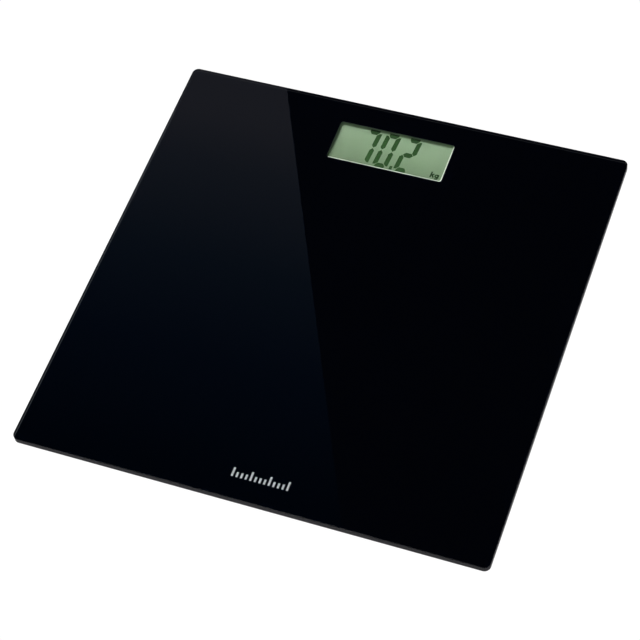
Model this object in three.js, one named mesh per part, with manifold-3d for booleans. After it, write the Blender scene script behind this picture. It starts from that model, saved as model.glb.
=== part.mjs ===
// A digital bathroom scale: a square glass platform that stands on four load-cell feet, with a display
// housing under its back edge and a flat lead from each foot to the housing.
// Millimetres, +Z up, +X to the user's right, +Y from the user's heels towards the display.
// The origin is on the floor, under the middle of the platform.
import * as THREE from "three";
import { ConvexGeometry } from "three/addons/geometries/ConvexGeometry.js";
import { mergeVertices } from "three/addons/utils/BufferGeometryUtils.js";
import Module from "manifold-3d";

const wasm = await Module();
wasm.setup();

// ---------------------------------------------------------------- sizes

const SEAT = 0.1; // air left between two faces that rest on, or are glued to, each other
const PLAY = 0.25; // side play of a piece that drops into its place
const RUN = 0.5; // side play of a piece that slides in another
const PAST = 1; // how far a cutting shape runs past the face that it cuts
const WELD = 0.2; // how far two shapes that are joined into one piece overlap

const plate = { width: 300, depth: 300, thick: 5, corner: 4, arris: 0.5 };
const backing = { thick: 0.3, margin: 0.8 };
const view = { width: 78.2, depth: 30.5, corner: 1.6, toBackEdge: 15.4 };
const tape = { thick: 0.8, inset: 1.2 };

const pad = { radius: 16, thick: 2.2, sunk: 0.7, edge: 0.5 };
const cap = { radius: 20.8, wall: 1.6, floor: 2.2, below: 4.7, edge: 1, bossRadius: 4 };
const capFlange = { reach: 2.1, thick: 1.2 };
const base = { radius: 26, wall: 1.6, top: 1.8, lip: 1.2, ledge: 3.2, edge: 1.2 };
const cell = { side: 34, corner: 3, thick: 1.1, frame: 5, slot: 2, neck: 9 };
const gauge = { length: 8, width: 6, thick: 0.6 };
const foot = { inset: 39, travel: 0.6, drop: 0.3, spare: 0.5 };
const cellStop = { length: 6, thick: 1.4 };

const bezel = { depth: 1.5, lean: 1.8, flare: 0.3, wall: 1.2, flange: 2, under: 1.4, toBacking: 0.25 };
const lcd = { border: 2.4, front: 1.1, rear: 1.1, ledge: 4 };
const zebra = { inset: 3.5, depth: 2.8 };
const board = { thick: 1.2, airAbove: 2.2, toBoss: 2, corner: 1 };
const boardBoss = { radius: 2.4, toFlange: 6, pitch: 32, toEdge: 4 };
const boardScrew = { radius: 1, headRadius: 1.9, headThick: 1.1, slot: 0.7 };
const chip = { radius: 5, thick: 1.1, x: -30 };
const tact = { side: 6.2, body: 1.6, plungerRadius: 1.7, plunger: 0.5, x: 30 };
const button = { radius: 3.7, flangeRadius: 5, flangeThick: 0.8, proud: 0.3, travel: 0.35 };

const coin = { radius: 10, thick: 3.2, edge: 0.3, stepRadius: 8.9, step: 0.5, toDoor: 0.3 };
const pocket = { wall: 1.1, ceiling: 1.2, toFlange: 1, rib: 1.5, spare: 0.4 };
const contact = { thick: 0.3, width: 5, tail: 4 };
const spring = { rise: 2, reach: 6 };

const housing = { wall: 1.8, roof: 1.6, corner: 6, toFlange: 0.8, frontStrip: 8.5 };
const cover = { thick: 1.5, edge: 0.5, lip: 1, lipRise: 1.6 };
const coverScrew = { radius: 1.25, headRadius: 2.6, headThick: 1.7, slot: 0.9, bossRadius: 3 };
const screwTip = 0.7; // air between a screw's tip and the roof
const screwWell = { wall: 1, floor: 1, sunk: 0.4 };
const door = { thick: 1.4, corner: 1.2 };
const hinge = { lugWidth: 4, lugX: 7, radius: 0.9, toOpening: 0.35, slit: 0.7 };
const hingePin = { radius: 0.5, play: 0.12, length: 1.6 };
const hingeRib = { rise: 1, past: 1.6, side: 3 };
const latch = { width: 7, length: 7, slot: 1, hook: 1.1, hookDepth: 1 };
const scoop = { radius: 5.5, depth: 0.8 };

const wire = { radius: 0.55, count: 3 };
const duct = { width: 8, height: 3.4, wall: 1, edge: 0.6, fromFoot: 7, toHousing: 9 };
const leadHole = { width: 5.4, height: 2.6 };
const leadEntry = { x: 34, frontReach: 17, sideReach: 10, onBoard: 3 };
const leadStep = 4.6; // length of one straight stretch of a lead

// ---------------------------------------------------------------- heights, from the floor up

const z = {};
z.capUnder = pad.thick - pad.sunk;
z.lipUnder = z.capUnder + cap.below;
z.lipTop = z.lipUnder + base.lip;
z.flangeUnder = z.lipTop + foot.drop;
z.flangeTop = z.flangeUnder + capFlange.thick;
z.cellUnder = z.flangeTop + foot.travel + foot.spare;
z.cellTop = z.cellUnder + cell.thick;
z.ledgeUnder = z.cellTop + SEAT;
z.baseCeiling = z.ledgeUnder + base.ledge;
z.baseTop = z.baseCeiling + base.top;
z.tapeUnder = z.baseTop + SEAT;
z.backingUnder = z.tapeUnder + tape.thick + SEAT;
z.glassUnder = z.backingUnder + backing.thick + SEAT;

// and from the backing down, inside the housing
z.roofTop = z.baseTop;
z.roofUnder = z.roofTop - housing.roof;
z.bezelUnder = z.roofUnder - bezel.under;
z.chamferUnder = z.backingUnder - bezel.depth;
z.lcdTop = z.chamferUnder - SEAT;
z.lcdStep = z.lcdTop - lcd.front;
z.lcdUnder = z.lcdStep - lcd.rear;
z.boardTop = z.lcdUnder - board.airAbove;
z.boardUnder = z.boardTop - board.thick;
z.switchUnder = z.boardUnder - SEAT - tact.body;
z.plungerUnder = z.switchUnder - tact.plunger;
z.buttonTop = z.plungerUnder - SEAT;
z.coverTop = z.buttonTop - button.flangeThick - SEAT;
z.coverUnder = z.coverTop - cover.thick;
z.doorTop = z.coverUnder + door.thick;
z.coinUnder = z.doorTop + coin.toDoor;
z.coinTop = z.coinUnder + coin.thick;
z.tailUnder = z.boardTop + SEAT;
z.pocketCeiling = Math.max(z.tailUnder, z.coinTop + SEAT) + contact.thick + pocket.spare;
z.ductUnder = z.backingUnder - SEAT - duct.height;
z.leadInDuct = z.backingUnder - SEAT - (duct.height - duct.wall) / 2 + PLAY;
z.leadInWall = z.roofUnder - leadHole.height / 2;
z.leadInBase = z.baseCeiling - leadHole.height / 2;

// ---------------------------------------------------------------- places, seen from above

const viewMid = { x: 0, y: plate.depth / 2 - view.toBackEdge - view.depth / 2 };
const lcdHalf = { x: view.width / 2 + lcd.border, y: view.depth / 2 + lcd.border };
const bezelHalf = { x: lcdHalf.x + PLAY + bezel.wall, y: lcdHalf.y + PLAY + bezel.wall };
const flangeHalf = { x: bezelHalf.x + bezel.flange, y: bezelHalf.y + bezel.flange };
const bossX = flangeHalf.x + boardBoss.toFlange;
const boardHalfX = bossX + boardBoss.radius + SEAT;
const innerHalfX = boardHalfX + housing.toFlange;
const coinMid = {
  x: 0,
  y: viewMid.y - flangeHalf.y - pocket.toFlange - pocket.wall - coin.radius - RUN,
};
const pocketRadius = coin.radius + RUN;
const pocketOuter = pocketRadius + pocket.wall;
const opening = {
  halfX: pocketOuter + RUN,
  front: coinMid.y - pocketOuter - RUN - latch.hookDepth - PLAY,
  back: coinMid.y + pocketOuter + RUN,
};
const box = {
  halfX: innerHalfX + housing.wall,
  front: opening.front - housing.frontStrip,
  back: viewMid.y + flangeHalf.y + housing.toFlange + housing.wall,
};
const boxMidY = (box.front + box.back) / 2;
const boxDepth = box.back - box.front;
const wellRadius = coverScrew.headRadius + PLAY + screwWell.wall;
const screwInset = housing.wall + PLAY + wellRadius;
const coverScrewAt = [
  ["front_left", -box.halfX + screwInset, box.front + screwInset],
  ["front_right", box.halfX - screwInset, box.front + screwInset],
  ["back_left", -box.halfX + screwInset, box.back - screwInset],
  ["back_right", box.halfX - screwInset, box.back - screwInset],
];
const boardSpan = {
  front: box.front + screwInset + coverScrew.bossRadius + board.toBoss,
  back: box.back - screwInset - coverScrew.bossRadius - RUN,
};
const boardScrewBack = boardSpan.back - boardBoss.toEdge;
const boardScrewFront = boardScrewBack - boardBoss.pitch;
const boardScrewAt = [
  ["front_left", -bossX, boardScrewFront],
  ["front_right", bossX, boardScrewFront],
  ["back_left", -bossX, boardScrewBack],
  ["back_right", bossX, boardScrewBack],
];
const hingeMid = { y: opening.back + hinge.toOpening, z: z.coverUnder + hinge.radius };

// Each foot's centre, and the point of the housing's wall that its lead goes to.
const footX = plate.width / 2 - foot.inset;
const footY = plate.depth / 2 - foot.inset;
const feet = [
  { name: "front_left", x: -footX, y: -footY, wall: [-leadEntry.x, box.front], inward: [0, 1] },
  { name: "front_right", x: footX, y: -footY, wall: [leadEntry.x, box.front], inward: [0, 1] },
  { name: "back_left", x: -footX, y: footY, wall: [-box.halfX, footY], inward: [1, 0] },
  { name: "back_right", x: footX, y: footY, wall: [box.halfX, footY], inward: [-1, 0] },
].map((f) => {
  const run = new THREE.Vector2(f.wall[0] - f.x, f.wall[1] - f.y);
  const inside = f.inward[0] === 0 ? leadEntry.frontReach : leadEntry.sideReach;
  return { ...f, inside, turn: run.angle(), reach: run.length() };
});

// ---------------------------------------------------------------- materials

const finish = (color, roughness, metalness = 0) =>
  new THREE.MeshStandardMaterial({ color, roughness, metalness });
const materials = {
  glass: finish("#10141a", 0.05),
  print: finish("#05060a", 0.4),
  foam: finish("#e8e6df", 0.9),
  housingPlastic: finish("#17181a", 0.45),
  doorPlastic: finish("#1b1c1e", 0.5),
  bezelPlastic: finish("#a9bfa2", 0.5),
  lcd: finish("#8fa889", 0.2),
  zebraRubber: finish("#c9c4bc", 0.7),
  boardLaminate: finish("#1d5b34", 0.4),
  chipResin: finish("#0b0b0c", 0.3),
  switchPlastic: finish("#2a2a2c", 0.5),
  plunger: finish("#d8d4c8", 0.5),
  buttonRubber: finish("#8d9096", 0.6),
  steel: finish("#c2c4c6", 0.3, 1),
  cellSteel: finish("#b4b7ba", 0.35, 1),
  silicone: finish("#f2f1ec", 0.5),
  footPlastic: finish("#232427", 0.5),
  capPlastic: finish("#2b2c30", 0.45),
  padRubber: finish("#3b3c3f", 0.85),
  leadPvc: finish("#d9dadb", 0.5),
  ductPlastic: finish("#1e1f22", 0.5),
};

// ---------------------------------------------------------------- shape helpers

// A rectangle with round corners, as a shape or as a hole's path.
function roundedRect(midX, midY, width, depth, radius) {
  const x = midX - width / 2;
  const y = midY - depth / 2;
  return new THREE.Shape()
    .moveTo(x + radius, y)
    .lineTo(x + width - radius, y)
    .absarc(x + width - radius, y + radius, radius, -Math.PI / 2, 0, false)
    .lineTo(x + width, y + depth - radius)
    .absarc(x + width - radius, y + depth - radius, radius, 0, Math.PI / 2, false)
    .lineTo(x + radius, y + depth)
    .absarc(x + radius, y + depth - radius, radius, Math.PI / 2, Math.PI, false)
    .lineTo(x, y + radius)
    .absarc(x + radius, y + radius, radius, Math.PI, 1.5 * Math.PI, false);
}

const withHole = (shape, ...holes) => {
  shape.holes.push(...holes);
  return shape;
};

// A shape raised from one height to another; edge is the width of the small slope at both faces.
function slab(shape, under, top, edge = 0) {
  const options = { depth: top - under - 2 * edge, curveSegments: 3, bevelEnabled: edge > 0 };
  const slopes = { bevelThickness: edge, bevelSize: edge, bevelOffset: -edge, bevelSegments: 1 };
  return new THREE.ExtrudeGeometry(shape, { ...options, ...slopes }).translate(0, 0, under + edge);
}

const block = (x0, x1, y0, y1, z0, z1) =>
  new THREE.BoxGeometry(x1 - x0, y1 - y0, z1 - z0).translate(
    (x0 + x1) / 2,
    (y0 + y1) / 2,
    (z0 + z1) / 2,
  );

const post = (x, y, radius, under, top, sides = 20) =>
  new THREE.CylinderGeometry(radius, radius, top - under, sides)
    .rotateX(Math.PI / 2)
    .translate(x, y, (under + top) / 2);

// A solid of revolution about Z from its [radius, height] outline, listed anticlockwise.
const turned = (outline, sides = 32) =>
  new THREE.LatheGeometry(outline.map(([r, h]) => new THREE.Vector2(r, h)), sides).rotateX(Math.PI / 2);

// A closed mesh as a manifold solid, and back again.
function solid(geometry) {
  const bare = new THREE.BufferGeometry();
  const source = geometry.index ? geometry.toNonIndexed() : geometry;
  bare.setAttribute("position", source.getAttribute("position"));
  const merged = mergeVertices(bare, 1e-4);
  const vertProperties = merged.getAttribute("position").array;
  const triVerts = new Uint32Array(merged.index.array);
  return new wasm.Manifold(new wasm.Mesh({ numProp: 3, vertProperties, triVerts }));
}

function toGeometry(manifold) {
  const mesh = manifold.getMesh();
  const positions = new Float32Array(mesh.numVert * 3);
  for (let i = 0; i < mesh.numVert; i++) {
    positions.set(mesh.vertProperties.subarray(i * mesh.numProp, i * mesh.numProp + 3), i * 3);
  }
  const geometry = new THREE.BufferGeometry();
  geometry.setAttribute("position", new THREE.BufferAttribute(positions, 3));
  geometry.setIndex(new THREE.BufferAttribute(mesh.triVerts, 1));
  geometry.computeVertexNormals();
  return geometry;
}

const weld = (to, ...shapes) => shapes.reduce((all, g) => all.add(solid(g)), to);
const join = (first, ...rest) => weld(solid(first), ...rest);
const cut = (from, ...tools) => tools.reduce((left, g) => left.subtract(solid(g)), from);

const scale = new THREE.Group();
scale.name = "bathroom_scale";

function add(name, shape, material, group = scale) {
  const geometry = shape.isBufferGeometry ? shape : toGeometry(shape);
  const mesh = new THREE.Mesh(geometry, material);
  mesh.name = name;
  group.add(mesh);
  return mesh;
}

// ---------------------------------------------------------------- platform

function addPlatform() {
  const outline = roundedRect(0, 0, plate.width, plate.depth, plate.corner);
  const glassTop = z.glassUnder + plate.thick;
  add("glass_platform", slab(outline, z.glassUnder, glassTop, plate.arris), materials.glass);

  const width = plate.width - 2 * backing.margin;
  const depth = plate.depth - 2 * backing.margin;
  const printed = withHole(
    roundedRect(0, 0, width, depth, plate.corner - backing.margin),
    roundedRect(viewMid.x, viewMid.y, view.width, view.depth, view.corner),
  );
  add("printed_backing", slab(printed, z.backingUnder, z.backingUnder + backing.thick), materials.print);
}

// ---------------------------------------------------------------- feet

// The upper half, glued to the platform: a shallow cup with a square ledge that the load cell's frame
// presses on, four stops around the cell, and an inner lip that keeps the cap from falling out.
function footBase() {
  const inner = base.radius - base.wall;
  const lipRadius = cap.radius + RUN;
  const cup = turned([
    [0, z.baseCeiling],
    [inner, z.baseCeiling],
    [inner, z.lipTop],
    [lipRadius, z.lipTop],
    [lipRadius, z.lipUnder],
    [base.radius - base.edge, z.lipUnder],
    [base.radius, z.lipUnder + base.edge],
    [base.radius, z.baseTop],
    [0, z.baseTop],
  ]);
  const inside = cell.side - 2 * cell.frame;
  const ledgeShape = withHole(
    roundedRect(0, 0, cell.side, cell.side, cell.corner),
    roundedRect(0, 0, inside, inside, 1),
  );
  const ledge = slab(ledgeShape, z.ledgeUnder, z.baseCeiling + WELD);
  const near = cell.side / 2 + PLAY;
  const far = near + cellStop.thick;
  const half = cellStop.length / 2;
  const stops = [
    block(-far, -near, -half, half, z.cellUnder, z.baseCeiling + WELD),
    block(-half, half, near, far, z.cellUnder, z.baseCeiling + WELD),
    block(-half, half, -far, -near, z.cellUnder, z.baseCeiling + WELD),
  ];
  const wide = leadHole.width / 2;
  const leadWay = block(
    inside / 2 - PAST,
    base.radius + PAST,
    -wide,
    wide,
    z.ledgeUnder - PAST,
    z.baseCeiling,
  );
  return cut(join(cup, ledge, ...stops), leadWay);
}

// The steel load cell: a square frame, and a tongue inside a U-shaped slot that bends when the cap
// pushes its middle up.
function loadCell() {
  const half = cell.side / 2 - cell.frame;
  const inner = half - cell.slot;
  const neck = cell.neck / 2;
  const slot = new THREE.Path()
    .moveTo(half, neck)
    .lineTo(half, half)
    .lineTo(-half, half)
    .lineTo(-half, -half)
    .lineTo(half, -half)
    .lineTo(half, -neck)
    .lineTo(inner, -neck)
    .lineTo(inner, -inner)
    .lineTo(-inner, -inner)
    .lineTo(-inner, inner)
    .lineTo(inner, inner)
    .lineTo(inner, neck)
    .lineTo(half, neck);
  return slab(
    withHole(roundedRect(0, 0, cell.side, cell.side, cell.corner), slot),
    z.cellUnder,
    z.cellTop,
  );
}

// The lower half, which moves: a shallow tub with a middle boss under the load cell's tongue, a flange
// that the base's lip holds, and a recess for the pad.
function footCap() {
  const inner = cap.radius - cap.wall;
  const floorTop = z.capUnder + cap.floor;
  const recessTop = z.capUnder + pad.sunk + SEAT;
  return turned([
    [0, recessTop],
    [pad.radius + PLAY, recessTop],
    [pad.radius + PLAY, z.capUnder],
    [cap.radius - cap.edge, z.capUnder],
    [cap.radius, z.capUnder + cap.edge],
    [cap.radius, z.flangeUnder],
    [cap.radius + capFlange.reach, z.flangeUnder],
    [cap.radius + capFlange.reach, z.flangeTop],
    [inner, z.flangeTop],
    [inner, floorTop],
    [cap.bossRadius, floorTop],
    [cap.bossRadius, z.cellUnder - SEAT],
    [0, z.cellUnder - SEAT],
  ]);
}

function footPad() {
  return turned([
    [0, 0],
    [pad.radius - pad.edge, 0],
    [pad.radius, pad.edge],
    [pad.radius, pad.thick],
    [0, pad.thick],
  ], 32);
}

function addFoot({ name, x, y, turn }) {
  const group = new THREE.Group();
  group.position.set(x, y, 0);
  group.rotation.z = turn;
  scale.add(group);
  const foam = post(0, 0, base.radius - tape.inset, z.tapeUnder, z.tapeUnder + tape.thick, 32);
  const gaugeMid = cell.side / 2 - cell.frame - cell.slot - gauge.length / 2;
  const gaugeUnder = z.cellTop + SEAT;
  const gaugeBlock = block(
    gaugeMid - gauge.length / 2,
    gaugeMid + gauge.length / 2,
    -gauge.width / 2,
    gauge.width / 2,
    gaugeUnder,
    gaugeUnder + gauge.thick,
  );
  add(`foot_tape_${name}`, foam, materials.foam, group);
  add(`foot_base_${name}`, footBase(), materials.footPlastic, group);
  add(`load_cell_${name}`, loadCell(), materials.cellSteel, group);
  add(`strain_gauge_${name}`, gaugeBlock, materials.silicone, group);
  add(`foot_cap_${name}`, footCap(), materials.capPlastic, group);
  add(`foot_pad_${name}`, footPad(), materials.padRubber, group);
}

// ---------------------------------------------------------------- leads and their ducts

// A flat lead of wires side by side, as an outline whose Y runs across the lead.
function leadSection() {
  const reach = (wire.count - 1) * wire.radius;
  const middles = [reach, 0, -reach];
  const outline = [];
  const side = (sign, list) =>
    list.forEach((mid) => {
      const steps = [55, 125];
      const angles = sign > 0 ? steps : steps.map((a) => a + 180);
      angles.forEach((a) => {
        const t = THREE.MathUtils.degToRad(a);
        outline.push(new THREE.Vector2(wire.radius * Math.sin(t), mid + wire.radius * Math.cos(t)));
      });
    });
  side(1, middles);
  side(-1, [...middles].reverse());
  return new THREE.Shape(outline);
}

// Frames along a lead's route that keep the lead flat: its width stays level all the way.
function levelFrames(route, steps) {
  const up = new THREE.Vector3(0, 0, 1);
  const tangents = Array.from({ length: steps + 1 }, (_, i) => route.getTangentAt(i / steps));
  const binormals = tangents.map((t) => new THREE.Vector3().crossVectors(t, up).normalize());
  const normals = tangents.map((t, i) => new THREE.Vector3().crossVectors(binormals[i], t));
  return { tangents, normals, binormals };
}

// From the load cell's gauge, out through the base, up into the duct, down through the housing's wall
// and onto the board.
function addLead({ name, x, y, turn, wall, inward, reach, inside }) {
  const along = (distance, height) =>
    new THREE.Vector3(x + distance * Math.cos(turn), y + distance * Math.sin(turn), height);
  const within = (distance, height) =>
    new THREE.Vector3(wall[0] + distance * inward[0], wall[1] + distance * inward[1], height);
  const ductFrom = base.radius + duct.fromFoot;
  const ductTo = reach - duct.toHousing;
  const onCell = z.cellTop + SEAT + gauge.thick + PLAY + wire.radius;
  const onBoard = z.boardTop + PLAY + wire.radius;
  const landing = inside - leadEntry.onBoard;
  const route = new THREE.CatmullRomCurve3([
    along(cell.side / 2 - cell.frame - cell.slot - 4, onCell),
    along(cell.side / 2 - cell.frame, onCell),
    along(base.radius - 3, z.leadInBase),
    along(base.radius + 1, z.leadInBase),
    along(ductFrom - 1.5, z.leadInDuct),
    along(ductFrom + 5, z.leadInDuct),
    along((ductFrom + ductTo) / 2, z.leadInDuct),
    along(ductTo - 4, z.leadInDuct),
    along(ductTo + 1, z.leadInDuct),
    within(-1.5, z.leadInWall),
    within(housing.wall + 1, z.leadInWall),
    within((housing.wall + 1 + landing) / 2, (z.leadInWall + onBoard) / 2),
    within(landing, onBoard),
    within(inside, onBoard),
  ], false, "centripetal");
  route.computeFrenetFrames = (count) => levelFrames(route, count);
  const steps = Math.round(route.getLength() / leadStep);
  const flat = new THREE.ExtrudeGeometry(leadSection(), { extrudePath: route, steps });
  add(`sensor_lead_${name}`, flat, materials.leadPvc);

  const length = ductTo - ductFrom;
  const half = duct.width / 2;
  const floor = duct.wall;
  const channel = new THREE.Shape()
    .moveTo(-half, duct.height)
    .lineTo(-half, duct.edge)
    .lineTo(-half + duct.edge, 0)
    .lineTo(half - duct.edge, 0)
    .lineTo(half, duct.edge)
    .lineTo(half, duct.height)
    .lineTo(half - duct.wall, duct.height)
    .lineTo(half - duct.wall, floor)
    .lineTo(-half + duct.wall, floor)
    .lineTo(-half + duct.wall, duct.height);
  const extruded = new THREE.ExtrudeGeometry(channel, { depth: length, bevelEnabled: false })
    .rotateX(Math.PI / 2)
    .rotateZ(Math.PI / 2);
  const mesh = add(`lead_duct_${name}`, extruded, materials.ductPlastic);
  mesh.position.set(x + ductFrom * Math.cos(turn), y + ductFrom * Math.sin(turn), z.ductUnder);
  mesh.rotation.z = turn;
}

// ---------------------------------------------------------------- display

const aroundView = (halfX, halfY, radius) =>
  roundedRect(viewMid.x, viewMid.y, 2 * halfX, 2 * halfY, radius);

// The display's opening as a cutting shape whose walls lean in from one inset at the top to another
// at the bottom; it runs past both.
function leaningHole(insetTop, insetUnder, top, under) {
  const ringAt = (inset, height) =>
    roundedRect(viewMid.x, viewMid.y, view.width - 2 * inset, view.depth - 2 * inset, view.corner)
      .getPoints(3)
      .map((p) => new THREE.Vector3(p.x, p.y, height));
  return new ConvexGeometry([
    ...ringAt(insetTop, top + PAST),
    ...ringAt(insetTop, top),
    ...ringAt(insetUnder, under),
    ...ringAt(insetUnder, under - SEAT),
  ]);
}

function addDisplay() {
  const top = z.backingUnder - bezel.toBacking;
  const body = slab(aroundView(bezelHalf.x, bezelHalf.y, 2), z.bezelUnder, top);
  const flange = slab(aroundView(flangeHalf.x, flangeHalf.y, 1), z.bezelUnder, z.roofUnder - SEAT);
  const chamfer = leaningHole(-bezel.flare, bezel.lean, top, z.chamferUnder);
  const nestShape = aroundView(lcdHalf.x + PLAY, lcdHalf.y + PLAY, 0.5);
  const nest = slab(nestShape, z.bezelUnder - PAST, z.chamferUnder);
  add("display_bezel", cut(join(body, flange), chamfer, nest), materials.bezelPlastic);

  const halfX = lcdHalf.x;
  const front = viewMid.y - lcdHalf.y;
  const back = viewMid.y + lcdHalf.y;
  const panel = join(
    block(-halfX, halfX, front, back, z.lcdStep, z.lcdTop),
    block(-halfX, halfX, front + lcd.ledge, back, z.lcdUnder, z.lcdStep + WELD),
  );
  add("lcd_panel", panel, materials.lcd);

  const stripFront = front + (lcd.ledge - zebra.depth) / 2;
  const stripHalfX = halfX - zebra.inset;
  add(
    "zebra_strip",
    block(
      -stripHalfX,
      stripHalfX,
      stripFront,
      stripFront + zebra.depth,
      z.boardTop + SEAT,
      z.lcdStep - SEAT,
    ),
    materials.zebraRubber,
  );
}

// ---------------------------------------------------------------- circuit board

// A screw that points up: head at the bottom, with a cross slot.
function screw({ radius, headRadius, headThick, slot }, headTop) {
  const tip = z.roofUnder - screwTip;
  const body = turned([
    [0, headTop - headThick],
    [headRadius * 0.8, headTop - headThick],
    [headRadius, headTop - headThick * 0.6],
    [headRadius, headTop],
    [radius, headTop],
    [radius, tip - radius],
    [0, tip],
  ], 20);
  const arm = headRadius * 0.6;
  const under = headTop - headThick - PAST;
  const depth = headTop - headThick * 0.4;
  return cut(
    solid(body),
    block(-arm, arm, -slot / 2, slot / 2, under, depth),
    block(-slot / 2, slot / 2, -arm, arm, under, depth),
  );
}

function addBoard() {
  const span = boardSpan.back - boardSpan.front;
  const midY = (boardSpan.front + boardSpan.back) / 2;
  const notch = pocketOuter + RUN;
  const outline = roundedRect(0, midY, 2 * boardHalfX, span, board.corner);
  const sheet = solid(slab(outline, z.boardUnder, z.boardTop));
  const under = z.boardUnder - PAST;
  const over = z.boardTop + PAST;
  const laminate = cut(
    sheet,
    post(coinMid.x, coinMid.y, notch, under, over, 32),
    block(-notch, notch, boardSpan.front - PAST, coinMid.y, under, over),
    ...boardScrewAt.map(([, x, y]) => post(x, y, boardScrew.radius + PLAY, under, over, 16)),
  );
  add("circuit_board", laminate, materials.boardLaminate);

  const chipTop = z.boardUnder - SEAT;
  const dome = turned([
    [0, chipTop - chip.thick],
    [chip.radius * 0.5, chipTop - chip.thick * 0.85],
    [chip.radius * 0.85, chipTop - chip.thick * 0.45],
    [chip.radius, chipTop],
    [0, chipTop],
  ], 24);
  add("chip_blob", dome.translate(chip.x, coinMid.y, 0), materials.chipResin);

  boardScrewAt.forEach(([name, x, y]) => {
    const mesh = add(`board_screw_${name}`, screw(boardScrew, z.boardUnder - SEAT), materials.steel);
    mesh.position.set(x, y, 0);
  });

  const half = tact.side / 2;
  const wellTop = z.switchUnder + PLAY + button.travel + SEAT;
  const switchBody = cut(
    solid(
      block(
        tact.x - half,
        tact.x + half,
        coinMid.y - half,
        coinMid.y + half,
        z.switchUnder,
        z.boardUnder - SEAT,
      ),
    ),
    post(tact.x, coinMid.y, tact.plungerRadius + PLAY, z.switchUnder - PAST, wellTop),
  );
  add("tact_switch", switchBody, materials.switchPlastic);
  const plunger = post(tact.x, coinMid.y, tact.plungerRadius, z.plungerUnder, z.switchUnder + PLAY);
  add("tact_plunger", plunger, materials.plunger);

  const capUnder = z.coverUnder - button.proud;
  const flangeUnder = z.coverTop + SEAT;
  const push = turned([
    [0, capUnder],
    [button.radius - 0.4, capUnder],
    [button.radius, capUnder + 0.4],
    [button.radius, flangeUnder],
    [button.flangeRadius, flangeUnder],
    [button.flangeRadius, z.buttonTop],
    [0, z.buttonTop],
  ], 28);
  add("unit_button", push.translate(tact.x, coinMid.y, 0), materials.buttonRubber);
}

// ---------------------------------------------------------------- battery

// A strip bent along an [x, z] outline and centred on the coin cell's middle line.
function bentStrip(points, width) {
  const outline = new THREE.Shape(points.map(([x, h]) => new THREE.Vector2(x, h)));
  return new THREE.ExtrudeGeometry(outline, { depth: width, bevelEnabled: false })
    .rotateX(Math.PI / 2)
    .translate(coinMid.x, coinMid.y + width / 2, 0);
}

function addBattery() {
  const canTop = z.coinTop;
  const can = turned([
    [0, z.coinUnder],
    [coin.radius - coin.edge, z.coinUnder],
    [coin.radius, z.coinUnder + coin.edge],
    [coin.radius, canTop - coin.step],
    [coin.stepRadius, canTop - coin.step],
    [coin.stepRadius, canTop],
    [0, canTop],
  ], 36);
  add("coin_cell", can.translate(coinMid.x, coinMid.y, 0), materials.steel);

  const t = contact.thick;
  const tailEnd = pocketOuter + RUN + contact.tail;
  const touch = coin.radius + SEAT;
  const positive = bentStrip([
    [touch, z.coinUnder + coin.toDoor],
    [touch + t, z.coinUnder + coin.toDoor],
    [touch + t, z.tailUnder],
    [tailEnd, z.tailUnder],
    [tailEnd, z.tailUnder + t],
    [touch, z.tailUnder + t],
  ], contact.width);
  add("battery_contact_positive", positive, materials.steel);

  const low = z.coinTop + SEAT;
  const bend = coin.radius - spring.rise;
  const negative = bentStrip([
    [-tailEnd, z.tailUnder],
    [-bend, z.tailUnder],
    [-spring.reach / 2, low],
    [spring.reach / 2, low],
    [spring.reach / 2 + spring.rise, z.tailUnder],
    [spring.reach / 2 + spring.rise, z.tailUnder + t],
    [spring.reach / 2, low + t],
    [-spring.reach / 2, low + t],
    [-bend, z.tailUnder + t],
    [-tailEnd, z.tailUnder + t],
  ], contact.width);
  add("battery_contact_negative", negative, materials.steel);
}

// ---------------------------------------------------------------- housing

// A cutting block for the hole in the housing's wall that a foot's lead goes in by.
function leadWayThroughWall({ wall, inward }) {
  const reach = housing.wall + PAST;
  const half = leadHole.width / 2;
  const [halfX, halfY] = inward[0] === 0 ? [half, reach] : [reach, half];
  const [x, y] = wall;
  return block(x - halfX, x + halfX, y - halfY, y + halfY, z.roofUnder - leadHole.height, z.roofUnder);
}

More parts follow.
